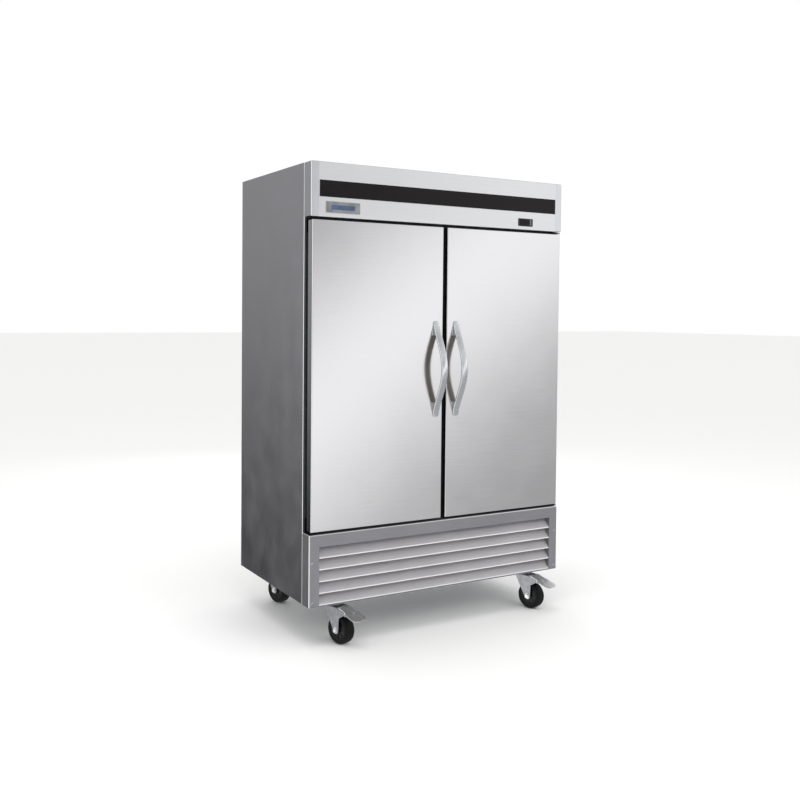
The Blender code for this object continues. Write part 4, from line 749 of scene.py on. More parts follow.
def fan(name, node, body, centre, steps_round, blades, hub_radius, pitch):
    """Moulded or pressed propeller: swept blades whose pitch eases towards the tip."""
    low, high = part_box(node)
    radius = (high.z - low.z) / 2
    middle = (low.y + high.y) / 2
    deep = (high.y - low.y) / 2
    bm = bmesh.new()
    bore = 0.0038
    hub = [(bore, -deep), (hub_radius - 0.002, -deep), (hub_radius, -deep + 0.002), (hub_radius, deep - 0.001),
           (hub_radius - 0.001, deep), (bore, deep)]
    add_turned(bm, hub, (centre.x, middle, centre.z), (0, 1, 0), steps_round)
    across, along = 6, 8
    for b in range(blades):
        top, bottom = [], []
        for i in range(along + 1):
            share = i / along
            r = hub_radius * 0.85 + (radius - hub_radius * 0.85) * share
            sweep = 0.35 * share ** 2
            width = 0.55 + 0.25 * math.sin(math.pi * min(share * 1.05, 1.0))
            ring_top, ring_bottom = [], []
            for k in range(across + 1):
                w = (k / across - 0.5) * width * (1.0 - 0.35 * max(share - 0.85, 0) / 0.15)
                angle = math.tau * b / blades + sweep + w
                rise = -math.tan(math.radians(pitch * (1 - 0.45 * share))) * r * w * 0.42
                rise = max(-deep + 0.001, min(deep - 0.001, rise))
                out = Vector((math.cos(angle), 0, math.sin(angle)))
                point = Vector((centre.x, middle + rise, centre.z)) + out * r
                ring_top.append(point + Vector((0, 0.0007, 0)))
                ring_bottom.append(point - Vector((0, 0.0007, 0)))
            top.append(ring_top)
            bottom.append(ring_bottom)
        add_rings(bm, [t + list(reversed(u)) for t, u in zip(top, bottom)])
    piece(name, bm, black_plastic, body, [node], smooth=50)


def fan_guard(name, centre, y, radius, rings, spokes, wire, material):
    """Welded wire guard of rings and spokes."""
    bm = bmesh.new()
    for i in range(rings):
        r = radius * (i + 1) / rings
        add_tube(bm, [(centre.x + r * math.cos(a), y, centre.z + r * math.sin(a))
                      for a in (math.tau * k / 40 for k in range(40))], wire, 6, closed=True)
    for i in range(spokes):
        a = math.tau * (i + 0.5) / spokes
        ends = [(centre.x + r * math.cos(a), y + wire, centre.z + r * math.sin(a)) for r in (0.004, radius + 0.004)]
        add_tube(bm, ends, wire, 6)
    piece(name, bm, material, "cabinet")


def fan_motor(name, node, centre, radius, material):
    """Shaded-pole motor: a ribbed can with end caps, its shaft to the fan and its mounting strap."""
    low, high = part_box(node)
    can_front = high.y - (0.060 if radius > 0.03 else 0.040)
    bm = bmesh.new()
    profile = [(0.0035, can_front), (radius * 0.55, can_front), (radius * 0.62, can_front + 0.003),
               (radius - 0.003, can_front + 0.004)]
    ribs = 6
    start, end = can_front + 0.007, high.y - 0.007
    for i in range(ribs):
        at = start + (end - start) * i / ribs
        step = (end - start) / ribs
        profile += [(radius - 0.0015, at), (radius - 0.0015, at + step * 0.45), (radius, at + step * 0.5),
                    (radius, at + step * 0.95)]
    profile += [(radius - 0.003, high.y - 0.004), (radius * 0.6, high.y - 0.001), (0.0035, high.y)]
    along = [(r, y - can_front) for r, y in profile]
    add_turned(bm, along, (centre.x, can_front, centre.z), (0, 1, 0), 40)
    add_turned(bm, rod(0.0034, low.y, can_front + 0.002, 0.0005), (centre.x, 0, centre.z), (0, 1, 0), 16)
    arm = radius / 3
    add_block(bm, (centre.x - arm, can_front + arm, low.z + 0.0006), (centre.x + arm, can_front + arm + 0.003, centre.z))
    add_block(bm, (centre.x - 2.4 * arm, can_front, low.z), (centre.x + 2.4 * arm, can_front + 3 * arm, low.z + 0.0022))
    piece(name, bm, material, "cabinet", [node])


coil("condenser", "condenser_coil", 0.014, 3, 10)
dress("condenser_fan_shroud", zinc_sheet, 0.0008)
condenser_hub = Vector(joints["condenser_fan_spin"]["pos_m"])
fan("condenser_propeller", "condenser_fan_blade", "condenser_fan", condenser_hub, 40, 5, 0.024, 30)
fan_motor("condenser_motor_can", "condenser_fan_motor", condenser_hub, 0.038, black_enamel)
shroud_low, shroud_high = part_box("condenser_fan_shroud")
fan_guard("condenser_fan_guard", condenser_hub, shroud_high.y + 0.002, 0.102, 5, 4, 0.0012, fork_zinc)


def compressor_shell():
    """Two drawn halves welded at the waist, on a footed plate with rubber grommets, with the
    terminal cover on its side."""
    low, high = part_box("compressor")
    centre = (low + high) / 2
    plate_z = low.z + 0.0125
    radius = 0.085
    shell_top, waist = high.z, plate_z + 0.112
    steps = 12
    profile = [(0.0005, plate_z)]
    profile += [(radius * math.sin(math.pi / 2 * i / steps), plate_z + 0.030 * (1 - math.cos(math.pi / 2 * i / steps)))
                for i in range(1, steps + 1)]
    profile += [(radius, waist - 0.004), (radius + 0.0032, waist - 0.003), (radius + 0.0038, waist),
                (radius + 0.0030, waist + 0.003), (radius - 0.001, waist + 0.004)]
    dome = shell_top - 0.045
    profile += [((radius - 0.001) * math.cos(math.pi / 2 * i / steps), dome + 0.045 * math.sin(math.pi / 2 * i / steps))
                for i in range(steps)]
    profile += [(0.0005, shell_top)]
    bm = bmesh.new()
    add_turned(bm, profile, (centre.x, centre.y, 0), (0, 0, 1), 64)
    piece("compressor_shell", bm, black_enamel, "cabinet", ["compressor"])

    feet = bmesh.new()
    half_x, half_y = (high.x - low.x) / 2, (high.y - low.y) / 2
    add_block(feet, (centre.x - half_x, centre.y - half_y * 0.72, plate_z), (centre.x + half_x, centre.y + half_y * 0.72,
                                                                         plate_z + 0.003))
    piece("compressor_base_plate", feet, black_enamel, "cabinet", radius=0.001)
    grommets = bmesh.new()
    for i in (-1, 1):
        for j in (-1, 1):
            stand = (centre.x + i * half_x * 0.84, centre.y + j * half_y * 0.55, low.z)
            ring = [(0.0040, 0.0), (0.0100, 0.0), (0.0105, 0.004), (0.0080, 0.006), (0.0100, 0.009), (0.0095, 0.0122),
                    (0.0040, 0.0122)]
            add_turned(grommets, ring, stand, (0, 0, 1), 24)
    piece("compressor_grommets", grommets, rubber, "cabinet")
    cover = bmesh.new()
    add_block(cover, (centre.x - 0.030, centre.y - radius - 0.022, waist - 0.075),
              (centre.x + 0.030, centre.y - radius + 0.012, waist - 0.010))
    piece("compressor_terminal_cover", cover, black_plastic, "cabinet", radius=0.003)
    return centre, waist, radius


def copper_lines():
    """Discharge to the condenser, liquid line with its drier, and the insulated suction return."""
    centre, waist, radius = compressor_shell()
    coil_low, coil_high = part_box("condenser_coil")
    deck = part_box("cabinet_insulation")[0].z
    lines = bmesh.new()
    start = Vector((centre.x - radius + 0.004, centre.y, waist + 0.030))
    discharge = [start, start + Vector((-0.040, 0, 0)), start + Vector((-0.040, 0, -0.060)),
                 Vector((coil_high.x + 0.020, centre.y, start.z - 0.060)),
                 Vector((coil_high.x + 0.020, coil_high.y - 0.012, start.z - 0.060)),
                 Vector((coil_high.x + 0.020, coil_high.y - 0.012, coil_high.z - 0.014)),
                 Vector((coil_high.x - 0.010, coil_high.y - 0.012, coil_high.z - 0.014))]
    add_tube(lines, bend_corners(discharge, 0.014), 0.0040, 10)
    liquid = [Vector((coil_high.x - 0.010, coil_low.y + 0.012, coil_low.z + 0.014)),
              Vector((coil_high.x + 0.045, coil_low.y + 0.012, coil_low.z + 0.014)),
              Vector((coil_high.x + 0.045, centre.y + 0.13, coil_low.z + 0.014)),
              Vector((coil_high.x + 0.045, centre.y + 0.13, deck - 0.003))]
    add_tube(lines, bend_corners(liquid, 0.014), 0.0032, 10)
    suction = [Vector((centre.x + radius - 0.004, centre.y + 0.010, waist + 0.020)),
               Vector((centre.x + radius + 0.045, centre.y + 0.010, waist + 0.020)),
               Vector((centre.x + radius + 0.045, centre.y + 0.010, waist + 0.060)),
               Vector((centre.x + radius + 0.045, centre.y + 0.140, waist + 0.060)),
               Vector((centre.x + radius + 0.045, centre.y + 0.140, deck - 0.003))]
    add_tube(lines, bend_corners(suction, 0.016), 0.0055, 10)
    piece("copper_lines", lines, copper, "cabinet")
    drier = bmesh.new()
    body = [(0.0035, 0.0), (0.0060, 0.006), (0.0110, 0.018), (0.0115, 0.024), (0.0115, 0.086), (0.0110, 0.092),
            (0.0060, 0.104), (0.0035, 0.110)]
    add_turned(drier, body, (coil_high.x + 0.045, coil_low.y + 0.130, coil_low.z + 0.014), (0, 1, 0), 32)
    piece("filter_drier", drier, copper, "cabinet")
    sleeve = bmesh.new()
    sleeve_line = [Vector((centre.x + radius + 0.045, centre.y + y, waist + 0.060)) for y in (0.030, 0.075, 0.118)]
    add_tube(sleeve, sleeve_line, 0.0120, 16)
    piece("suction_line_sleeve", sleeve, rubber, "cabinet")


copper_lines()
dress("drain_pan", black_plastic, 0.0010)
dress("electrical_box", zinc_sheet, 0.0010)


def cord_gland():
    """Nylon cable gland in the back window: hex body, ridged dome nut and an open throat."""
    low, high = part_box("electrical_box")
    x, z = (low.x + high.x) / 2, (low.z + high.z) / 2
    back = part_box("back_panel")[1].y
    start = high.y - 0.002
    nut = bmesh.new()
    add_turned(nut, [(0.0075, -0.010), (0.0205, -0.010), (0.0215, -0.009), (0.0215, -0.005), (0.0075, -0.005)],
               (x, start, z), (0, 1, 0), 6)
    reach = back - 0.0010 - start
    dome = [(0.0072, -0.004), (0.0160, -0.004), (0.0160, reach * 0.45), (0.0145, reach * 0.8), (0.0110, reach),
            (0.0085, reach), (0.0072, reach * 0.6)]
    add_turned(nut, dome, (x, start, z), (0, 1, 0), 24)
    piece("supply_cord_gland", nut, black_plastic, "cabinet", smooth=20)


cord_gland()


# --------------------------------------------------------------------------------- interior
# Under the ceiling hangs the evaporator: an aluminium cover with the fan behind a wire guard, the
# finned coil, and ahead of it the lamp with its clear shield.
def milky_plastic(name, colour):
    """Opal polycarbonate: a white diffuser with a smooth, slightly waxy gloss."""
    material, tree, shader = new_material(name)
    place = add_node(tree, "ShaderNodeTexCoord").outputs["Object"]
    flutes = add_node(tree, "ShaderNodeTexWave", {"Scale": 1 / 0.006 / math.tau * 2, "bands_direction": "X"},
                      {"Vector": place}).outputs["Fac"]
    tint = add_node(tree, "ShaderNodeMix", {"data_type": "RGBA", 6: srgb(colour), 7: srgb("#fbfbf7")}, {0: flutes})
    tree.links.new(tint.outputs[2], shader.inputs["Base Color"])
    bump = add_node(tree, "ShaderNodeBump", {"Strength": 0.3, "Distance": 0.0004}, {"Height": flutes})
    tree.links.new(bump.outputs[0], shader.inputs["Normal"])
    shader.inputs["Roughness"].default_value = 0.28
    shader.inputs["Subsurface Weight"].default_value = 0.2
    shader.inputs["Subsurface Radius"].default_value = (0.01, 0.01, 0.01)
    return material


opal = milky_plastic("polycarbonate_opal", "#e6e8e4")
white_plastic = moulded_plastic("abs_white_moulded", "#d5d8d6", "#e4e6e3", 0.36, 0.7)
dress("evaporator_cover", aluminium, 0.0010)
coil("evaporator", "evaporator_coil", 0.016, 3, 5)
evaporator_hub = Vector(joints["evaporator_fan_spin"]["pos_m"])
fan("evaporator_propeller", "evaporator_fan_blade", "evaporator_fan", evaporator_hub, 32, 5, 0.017, 34)
fan_motor("evaporator_motor_can", "evaporator_fan_motor", evaporator_hub, 0.024, black_enamel)
cover_low, cover_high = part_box("evaporator_cover")
chrome_wire = zinc_plate("steel_wire_chromed", "#b9bbbd", "#c9cbcc", 0.18)
fan_guard("evaporator_fan_guard", evaporator_hub, cover_low.y - 0.0025, 0.066, 5, 4, 0.0012, chrome_wire)


def lamp():
    low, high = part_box("interior_light")
    base = bmesh.new()
    add_block(base, (low.x, low.y, high.z - 0.008), high)
    for side, x in ((1, low.x), (-1, high.x)):
        add_block(base, (x, low.y + 0.001, low.z + 0.001), (x + side * 0.016, high.y - 0.001, high.z - 0.004))
    piece("interior_lamp_base", base, white_plastic, "cabinet", ["interior_light"], radius=0.0015)
    tube = bmesh.new()
    outline = []
    for i in range(13):
        angle = math.pi * i / 12
        outline.append(((low.y + high.y) / 2 - 0.0145 * math.cos(angle), high.z - 0.0085 - 0.0130 * math.sin(angle)))
    rings = [[(x, y, z) for y, z in outline] for x in (low.x + 0.0165, high.x - 0.0165)]
    add_rings(tube, rings)
    piece("interior_lamp_lens", tube, opal, "cabinet")


lamp()


# ------------------------------------------------------------------- pilasters, clips, shelves
# Shelves of plastic-coated wire lie on pressed clips, which hook into slotted stainless pilasters
# on the side walls, the back wall and the mullion.
PILASTER_DEPTH = 0.0085
PILASTER_WIDTH = 0.022
SLOT_PITCH = 0.0254
SLOT_HEIGHT = 0.0125
SLOT_WIDTH = 0.0065
WIRE_RADIUS = 0.0023
RIM_WIRE_RADIUS = 0.0035
WIRE_PITCH = 0.0255


def coated_wire(name):
    """Steel wire dipped in epoxy: a smooth pale grey skin with a soft gloss."""
    return moulded_plastic(name, "#d2d5d4", "#e2e4e2", 0.30, 1.6)


def pilaster(name, base, facing, across, height):
    """Slotted channel that stands on the wall: facing points into the room."""
    bm = bmesh.new()
    facing, across = Vector(facing), Vector(across)
    rows = [0.0]
    count = int(height / SLOT_PITCH)
    for i in range(count):
        middle = SLOT_PITCH * (i + 0.5)
        rows += [middle - SLOT_HEIGHT / 2, middle + SLOT_HEIGHT / 2]
    rows.append(height)
    widths = [-PILASTER_WIDTH / 2, -SLOT_WIDTH / 2, SLOT_WIDTH / 2, PILASTER_WIDTH / 2]
    grid = [[bm.verts.new(base + across * w + facing * PILASTER_DEPTH + Vector((0, 0, z))) for w in widths]
            for z in rows]
    for r in range(len(rows) - 1):
        for c in range(3):
            if c != 1 or r % 2 == 0:
                bm.faces.new((grid[r][c], grid[r][c + 1], grid[r + 1][c + 1], grid[r + 1][c]))
    for edge, w in ((0, widths[0]), (3, widths[-1])):
        wall = [bm.verts.new(base + across * w + facing * 0.0014 + Vector((0, 0, z))) for z in rows]
        for r in range(len(rows) - 1):
            bm.faces.new((grid[r][edge], grid[r + 1][edge], wall[r + 1], wall[r]))
    obj = piece(name, bm, stainless_inside, "cabinet")
    thick = obj.modifiers.new("sheet", "SOLIDIFY")
    thick.thickness = 0.0010
    thick.offset = 0.0


def shelf_support():
    """All pilasters, and under every shelf corner the clip that carries it."""
    liner_low, liner_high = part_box("interior_liner")
    shelf_low, shelf_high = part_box("left_shelf_1")
    wall = liner_high.x - 0.0008
    back_wall = liner_high.y - 0.0008
    base_z = liner_low.z + 0.045
    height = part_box("evaporator_cover")[0].z - 0.030 - base_z
    front_y, back_y = shelf_low.y + 0.050, shelf_high.y - 0.050
    stands = []
    for hand_name, hand in (("left", -1), ("right", 1)):
        for end_name, y in (("front", front_y), ("back", back_y)):
            base = Vector((hand * wall, y, base_z))
            pilaster(f"pilaster_{hand_name}_{end_name}", base, (-hand, 0, 0), (0, 1, 0), height)
            stands.append((base, Vector((-hand, 0, 0)), (hand_name,)))
    mullion_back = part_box("breaker_frame")[1].y
    for name, y, facing in (("pilaster_mullion", mullion_back + 0.001, 1), ("pilaster_back_wall", back_wall, -1)):
        base = Vector((0, y, base_z))
        pilaster(name, base, (0, facing, 0), (1, 0, 0), height)
        stands.append((base, Vector((0, facing, 0)), ("left", "right")))
    levels = [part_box(f"left_shelf_{i}")[0].z for i in (1, 2, 3)]
    clips = bmesh.new()
    for base, facing, hands in stands:
        for level in levels:
            face = base + facing * PILASTER_DEPTH
            if abs(facing.x) > 0:
                add_block(clips, face + Vector((0, -0.008, level - base.z - 0.0015)),
                          face + facing * 0.020 + Vector((0, 0.008, level - base.z - 0.0003)))
                add_block(clips, face + Vector((0, -0.008, level - base.z - 0.020)),
                          face + facing * 0.0014 + Vector((0, 0.008, level - base.z - 0.0003)))
            else:
                reach = 0.016
                add_block(clips, face + Vector((-0.050, 0, level - base.z - 0.0015)),
                          face + facing * reach + Vector((0.050, 0, level - base.z - 0.0003)))
                add_block(clips, face + Vector((-0.010, 0, level - base.z - 0.020)),
                          face + facing * 0.0014 + Vector((0.010, 0, level - base.z - 0.0003)))
    piece("shelf_clips", clips, fork_zinc, "cabinet")


def wire_shelf(node):
    """Rim of heavier wire with three stiffeners under a close grid of thin wires, front to back."""
    low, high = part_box(node)
    bm = bmesh.new()
    rim_z = low.z + RIM_WIRE_RADIUS
    inset = RIM_WIRE_RADIUS
    corners = [(low.x + inset, low.y + inset), (high.x - inset, low.y + inset), (high.x - inset, high.y - inset),
               (low.x + inset, high.y - inset)]
    turn = 0.012
    loop = []
    for i, (x, y) in enumerate(corners):
        sx, sy = (1 if x < high.x - 0.1 else -1), (1 if y < high.y - 0.1 else -1)
        centre = Vector((x + sx * turn, y + sy * turn, rim_z))
        start = math.pi + i * math.pi / 2
        for k in range(5):
            angle = start + math.pi / 2 * k / 4
            loop.append(centre + turn * Vector((math.cos(angle), math.sin(angle), 0)))
    add_tube(bm, loop, RIM_WIRE_RADIUS, 10, closed=True)
    for share in (0.22, 0.5, 0.78):
        y = low.y + (high.y - low.y) * share
        add_tube(bm, [(low.x + inset, y, rim_z), (high.x - inset, y, rim_z)], RIM_WIRE_RADIUS * 0.85, 8)
    top = high.z - WIRE_RADIUS - 0.0002
    count = int((high.x - low.x) / WIRE_PITCH)
    for i in range(1, count):
        x = low.x + (high.x - low.x) * i / count
        add_tube(bm, [(x, low.y + inset, top), (x, high.y - inset, top)], WIRE_RADIUS, 6)
    body = node
    piece(f"{node}_wires", bm, epoxy_wire, body, [node])


epoxy_wire = coated_wire("epoxy_coated_wire")
shelf_support()
for hand_name in ("left", "right"):
    for level in (1, 2, 3):
        wire_shelf(f"{hand_name}_shelf_{level}")


# ---------------------------------------------------------------------------------- header
# A folded stainless channel between two end caps, with a gloss black acrylic strip, a plain
# enamelled badge and the thermostat, whose bezel holds a dark window and three keys.
def gloss_acrylic(name, colour):
    """Cast acrylic: black right through and mirror-bright, with hairline polishing marks."""
    material, tree, shader = new_material(name)
    place = add_node(tree, "ShaderNodeTexCoord").outputs["Object"]
    marks = add_node(tree, "ShaderNodeTexNoise", {"Scale": 1 / 0.050, "Detail": 6.0}, {"Vector": place}).outputs[0]
    tint = add_node(tree, "ShaderNodeMix", {"data_type": "RGBA", 6: srgb(colour), 7: srgb("#1a1617")}, {0: marks})
    tree.links.new(tint.outputs[2], shader.inputs["Base Color"])
    shine = add_node(tree, "ShaderNodeMapRange", {"From Min": 0.3, "From Max": 0.7, "To Min": 0.22, "To Max": 0.32},
                     {"Value": marks}).outputs[0]
    tree.links.new(shine, shader.inputs["Roughness"])
    shader.inputs["Specular IOR Level"].default_value = 0.15
    return material


def sheet_pan(name, low, high, returns, metal, body, replaced, bend=SIDE_BEND, window=None):
    """Folded pan that faces -Y: its front, with a window if one is given, and the named returns,
    which run back to high.y.  The folds are bent first and the sheet's thickness follows inside."""
    xs, zs = [low.x, high.x], [low.z, high.z]
    if window:
        xs[1:1] = [window[0].x, window[1].x]
        zs[1:1] = [window[0].z, window[1].z]
    bm = bmesh.new()
    front = [[bm.verts.new((x, low.y, z)) for x in xs] for z in zs]
    for r in range(len(zs) - 1):
        for c in range(len(xs) - 1):
            if not window or (r, c) != (1, 1):
                bm.faces.new((front[r][c], front[r][c + 1], front[r + 1][c + 1], front[r + 1][c]))
    deep = {}

    def behind(r, c):
        if (r, c) not in deep:
            deep[r, c] = bm.verts.new((xs[c], high.y, zs[r]))
        return deep[r, c]

    last_r, last_c = len(zs) - 1, len(xs) - 1
    for r in range(last_r):
        if "left" in returns:
            bm.faces.new((front[r][0], front[r + 1][0], behind(r + 1, 0), behind(r, 0)))
        if "right" in returns:
            bm.faces.new((front[r][last_c], behind(r, last_c), behind(r + 1, last_c), front[r + 1][last_c]))
    for c in range(last_c):
        if "top" in returns:
            bm.faces.new((front[last_r][c], front[last_r][c + 1], behind(last_r, c + 1), behind(last_r, c)))
        if "bottom" in returns:
            bm.faces.new((front[0][c], behind(0, c), behind(0, c + 1), front[0][c + 1]))
    obj = piece(name, bm, metal, body, [replaced], oriented=True)
    # The bevels on the folds take the very light steel: a painted highlight along every bend.
    obj.data.materials.append(burnished)
    fold = obj.modifiers.new("folds", "BEVEL")
    fold.width = bend
    fold.segments = 4
    fold.limit_method = "ANGLE"
    fold.angle_limit = math.radians(50)
    fold.material = 1
    thick = obj.modifiers.new("sheet", "SOLIDIFY")
    thick.thickness = SHEET
    thick.offset = -1.0
    thick.use_even_offset = True
    flat = obj.modifiers.new("flat_faces", "WEIGHTED_NORMAL")
    flat.weight = 100
    flat.keep_sharp = True
    return obj


def header():
    low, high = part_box("header_panel")
    hole_low, hole_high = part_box("controller_body")
    edge = Vector((0.004, 0, 0.004))
    sheet_pan("header_channel", low, high, ("top", "bottom"), header_steel, "cabinet", "header_panel",
              0.0022, (hole_low + edge, hole_high - edge))
    for side in ("left", "right"):
        low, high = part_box(f"header_end_cap_{side}")
        sheet_pan(f"header_cap_{side}", low, high, (side, "top", "bottom"), cap_steel, "cabinet",
                  f"header_end_cap_{side}", 0.0035)


black_acrylic = gloss_acrylic("acrylic_black_gloss", "#130f10")
header_steel = brushed_metal("stainless_steel_header", "#dfe0e1", "#e6e7e8", 0.34, (160, 3, 3))
cap_steel = brushed_metal("stainless_steel_header_cap", "#d0d1d4", "#d9dadd", 0.30, (3, 3, 160))
header()
dress("header_strip", black_acrylic, 0.0004)


def framed_plate(bm, low, high, rim, lip, sunk):
    """A plate that faces -Y with a raised rim round a sunk field; the rim's outer corners are round."""
    def outline(inset, y, round_by):
        points = []
        corners = [(high.x - inset, high.z - inset), (low.x + inset, high.z - inset), (low.x + inset, low.z + inset),
                   (high.x - inset, low.z + inset)]
        for i, (x, z) in enumerate(corners):
            sx, sz = (-1 if x > (low.x + high.x) / 2 else 1), (-1 if z > (low.z + high.z) / 2 else 1)
            centre = Vector((x + sx * round_by, y, z + sz * round_by))
            for k in range(5):
                angle = math.pi / 2 * (i + k / 4)
                points.append(centre + round_by * Vector((math.cos(angle), 0, math.sin(angle))))
        return points

    add_rings(bm, [outline(0, high.y, rim * 1.2), outline(0, low.y + lip, rim * 1.2),
                   outline(lip, low.y, rim * 1.2 - lip), outline(rim - lip, low.y, rim * 0.8),
                   outline(rim, low.y + sunk, rim * 0.6)])


def badge():
    """Die-cast plate: polished rim, hammered grey field and a plain slate-blue bar."""
    low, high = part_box("badge_plate")
    rim = 0.0028
    bm = bmesh.new()
    framed_plate(bm, low, high, rim, 0.0004, 0.0008)
    piece("badge_rim", bm, chrome_wire, "cabinet", ["badge_plate"])
    field = bmesh.new()
    add_block(field, (low.x + rim, low.y + 0.0006, low.z + rim), (high.x - rim, low.y + 0.0011, high.z - rim))
    piece("badge_field", field, badge_grey, "cabinet")
    inset_x, inset_z = (high.x - low.x) * 0.16, (high.z - low.z) * 0.30
    bar = bmesh.new()
    add_block(bar, (low.x + inset_x, low.y + 0.0002, low.z + inset_z), (high.x - inset_x, low.y + 0.0008, high.z - inset_z))
    piece("badge_bar", bar, badge_enamel, "cabinet", radius=0.0003)


badge_grey = moulded_plastic("enamel_grey_hammered", "#6c6e72", "#8b8e92", 0.40, 3.0)
badge_enamel = baked_enamel("enamel_slate_blue", "#46597c")
badge()


def controller():
    """Snap-in thermostat: matt bezel with a tinted window at its left and a keypad at its right."""
    low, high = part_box("controller_body")
    face_y, mount_y = low.y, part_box("header_panel")[0].y - 0.0003
    bezel = bmesh.new()
    framed_plate(bezel, Vector((low.x, face_y, low.z)), Vector((high.x, mount_y, high.z)), 0.0030, 0.0008, 0.0010)
    piece("controller_bezel", bezel, black_plastic, "cabinet", ["controller_body"])
    housing = bmesh.new()
    add_block(housing, (low.x + 0.0055, face_y + 0.0012, low.z + 0.0055), (high.x - 0.0055, high.y, high.z - 0.0055))
    piece("controller_housing", housing, black_plastic, "cabinet", radius=0.001)
    keys_low = min(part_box(f"controller_button_{i}")[0].x for i in (1, 2, 3))
    window = bmesh.new()
    add_block(window, (low.x + 0.0060, face_y + 0.0003, low.z + 0.0058),
              (keys_low - 0.0050, face_y + 0.0012, high.z - 0.0058))
    piece("controller_window", window, black_acrylic, "cabinet", radius=0.0004)
    pad = bmesh.new()
    add_block(pad, (keys_low - 0.0035, face_y + 0.0006, low.z + 0.0036),
              (high.x - 0.0040, face_y + 0.0011, high.z - 0.0036))
    piece("controller_keypad", pad, keypad_grey, "cabinet", radius=0.0002)


keypad_grey = moulded_plastic("polyester_keypad_slate", "#262d36", "#323a44", 0.45, 0.6, 0.3)
controller()
for number in (1, 2, 3):
    dress(f"controller_button_{number}", grey_plastic, 0.0008)


# --------------------------------------------------------------------------- louvred panel
# A folded stainless pan across the bottom, screwed to the carcass through its side margins.  Five
# slats lean back inside it; each has its lower edge rolled over into a bead, painted lighter as a highlight.
SLATS = 5
OPENING_HALF = 0.637
OPENING_FLOOR, OPENING_CEILING = 0.0040, 0.2600      # above the panel's lower edge
SLAT_SETBACK = 0.045


def louver_pan(low, high):
    """Front margin round the opening with returns at both sides and over the top, and inside it
    the two cheeks that hold the slats' ends."""
    window = (Vector((-OPENING_HALF, 0, low.z + OPENING_FLOOR)), Vector((OPENING_HALF, 0, low.z + OPENING_CEILING)))
    sheet_pan("louver_pan", low, high, ("left", "right", "top"), pan_steel, "cabinet", "louver_panel", 0.0045, window)
    cheeks = bmesh.new()
    for side in (-1, 1):
        outer = side * (OPENING_HALF + 0.0002)
        add_block(cheeks, (outer, low.y + SHEET, window[0].z), (outer - side * 0.0010, low.y + SLAT_SETBACK + SHEET,
                                                            window[1].z))
    piece("louver_cheeks", cheeks, pan_steel, "cabinet")


def slats(low, high):
    pitch = (OPENING_CEILING - OPENING_FLOOR) / SLATS
    bead = 0.0028
    for i in range(SLATS):
        edge = low.z + OPENING_FLOOR + i * pitch
        nose = low.y + 0.0006
        roll = [(nose + bead + bead * math.cos(a), edge + bead + bead * math.sin(a))
                for a in (math.radians(100 + 250 * k / 12) for k in range(13))]
        upper = [(nose + SLAT_SETBACK - 0.0015, edge + pitch - 0.0030), (nose + SLAT_SETBACK - 0.0035,
                                                                       edge + pitch - 0.0030)]
        section = roll + upper
        rings = [[(x, y, z) for y, z in section] for x in (-OPENING_HALF + 0.0012, OPENING_HALF - 0.0012)]
        bm = bmesh.new()
        add_rings(bm, rings)
        # The bead's faces take a near-white steel: a painted highlight along each slat's lower edge.
        for face in bm.faces:
            if face.calc_center_median().z < edge + 2 * bead and abs(face.normal.x) < 0.5:
                face.material_index = 1
        obj = piece(f"louver_slat_{i + 1}", bm, slat_steel, "cabinet", smooth=30)
        obj.data.materials.append(bead_painted_highlight)


def cross_head_screw(bm, place, radius, proud):
    """Pan-head screw facing -Y with a cross recess."""
    x, y, z = place
    steps = 32
    profile = [(0.0, 0.0), (0.30, 0.05), (0.62, 0.22), (0.86, 0.52), (1.0, 1.0)]
    rings = []
    for share, depth in profile[1:]:
        rings.append([(x + radius * share * math.cos(a), y - proud * (1 - depth), z + radius * share * math.sin(a))
                      for a in (math.tau * k / steps for k in range(steps))])
    recess = []
    for k in range(steps):
        a = math.tau * k / steps
        reach = 0.30 if abs(math.sin(2 * a)) > 0.55 else 0.58
        recess.append((x + radius * 0.9 * reach * math.cos(a), y - proud * 0.45, z + radius * 0.9 * reach * math.sin(a)))
    add_rings(bm, [recess] + rings)


def panel_screws(low, high):
    bm = bmesh.new()
    for side in (-1, 1):
        for z in (low.z + 0.019, low.z + 0.193):
            cross_head_screw(bm, (side * 0.669, low.y - 0.0001, z), 0.0062, 0.0024)
    piece("louver_panel_screws", bm, chrome_wire, "cabinet")


pan_steel = brushed_metal("powder_coat_grey_metallic", "#87878b", "#919195", 0.36, (120, 3, 3), 0.06, 0.6)
slat_steel = brushed_metal("powder_coat_silver_metallic", "#c8c6ca", "#d1cfd3", 0.42, (120, 3, 3), 0.06, 0.30)
# Near-white steel for the slat beads: a painted highlight, not wear.
bead_painted_highlight = brushed_metal("powder_coat_silver_painted_highlight", "#f0f0f1", "#f8f8f9", 0.30, (120, 3, 3), 0.04, 0.35)
pan_low, pan_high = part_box("louver_panel")
louver_pan(pan_low, pan_high)
slats(pan_low, pan_high)
panel_screws(pan_low, pan_high)


# ----------------------------------------------------------------------------------- doors
# Each door is a brushed stainless pan foamed to an embossed inner panel, with a magnetic gasket
# pushed into a channel round the edge and a cast bow handle screwed on from inside.  It turns on
# pins in black phosphated angle brackets, whose black is partly painted shade for the gap they sit in.
GASKET_INSET = 0.014
HANDLE_WIDTH = 0.032
HANDLE_STRAP = 0.0095
HANDLE_FOOT = 0.066
HANDLE_END_ROUND = 0.010


def satin_chrome(name):
    """Zinc die casting, shot-blasted and satin-chromed: an even silver grey with a fine frost that
    spreads each highlight into a soft glow."""
    return zinc_plate(name, "#d6dadc", "#dde1e3", 0.24, 0.02)


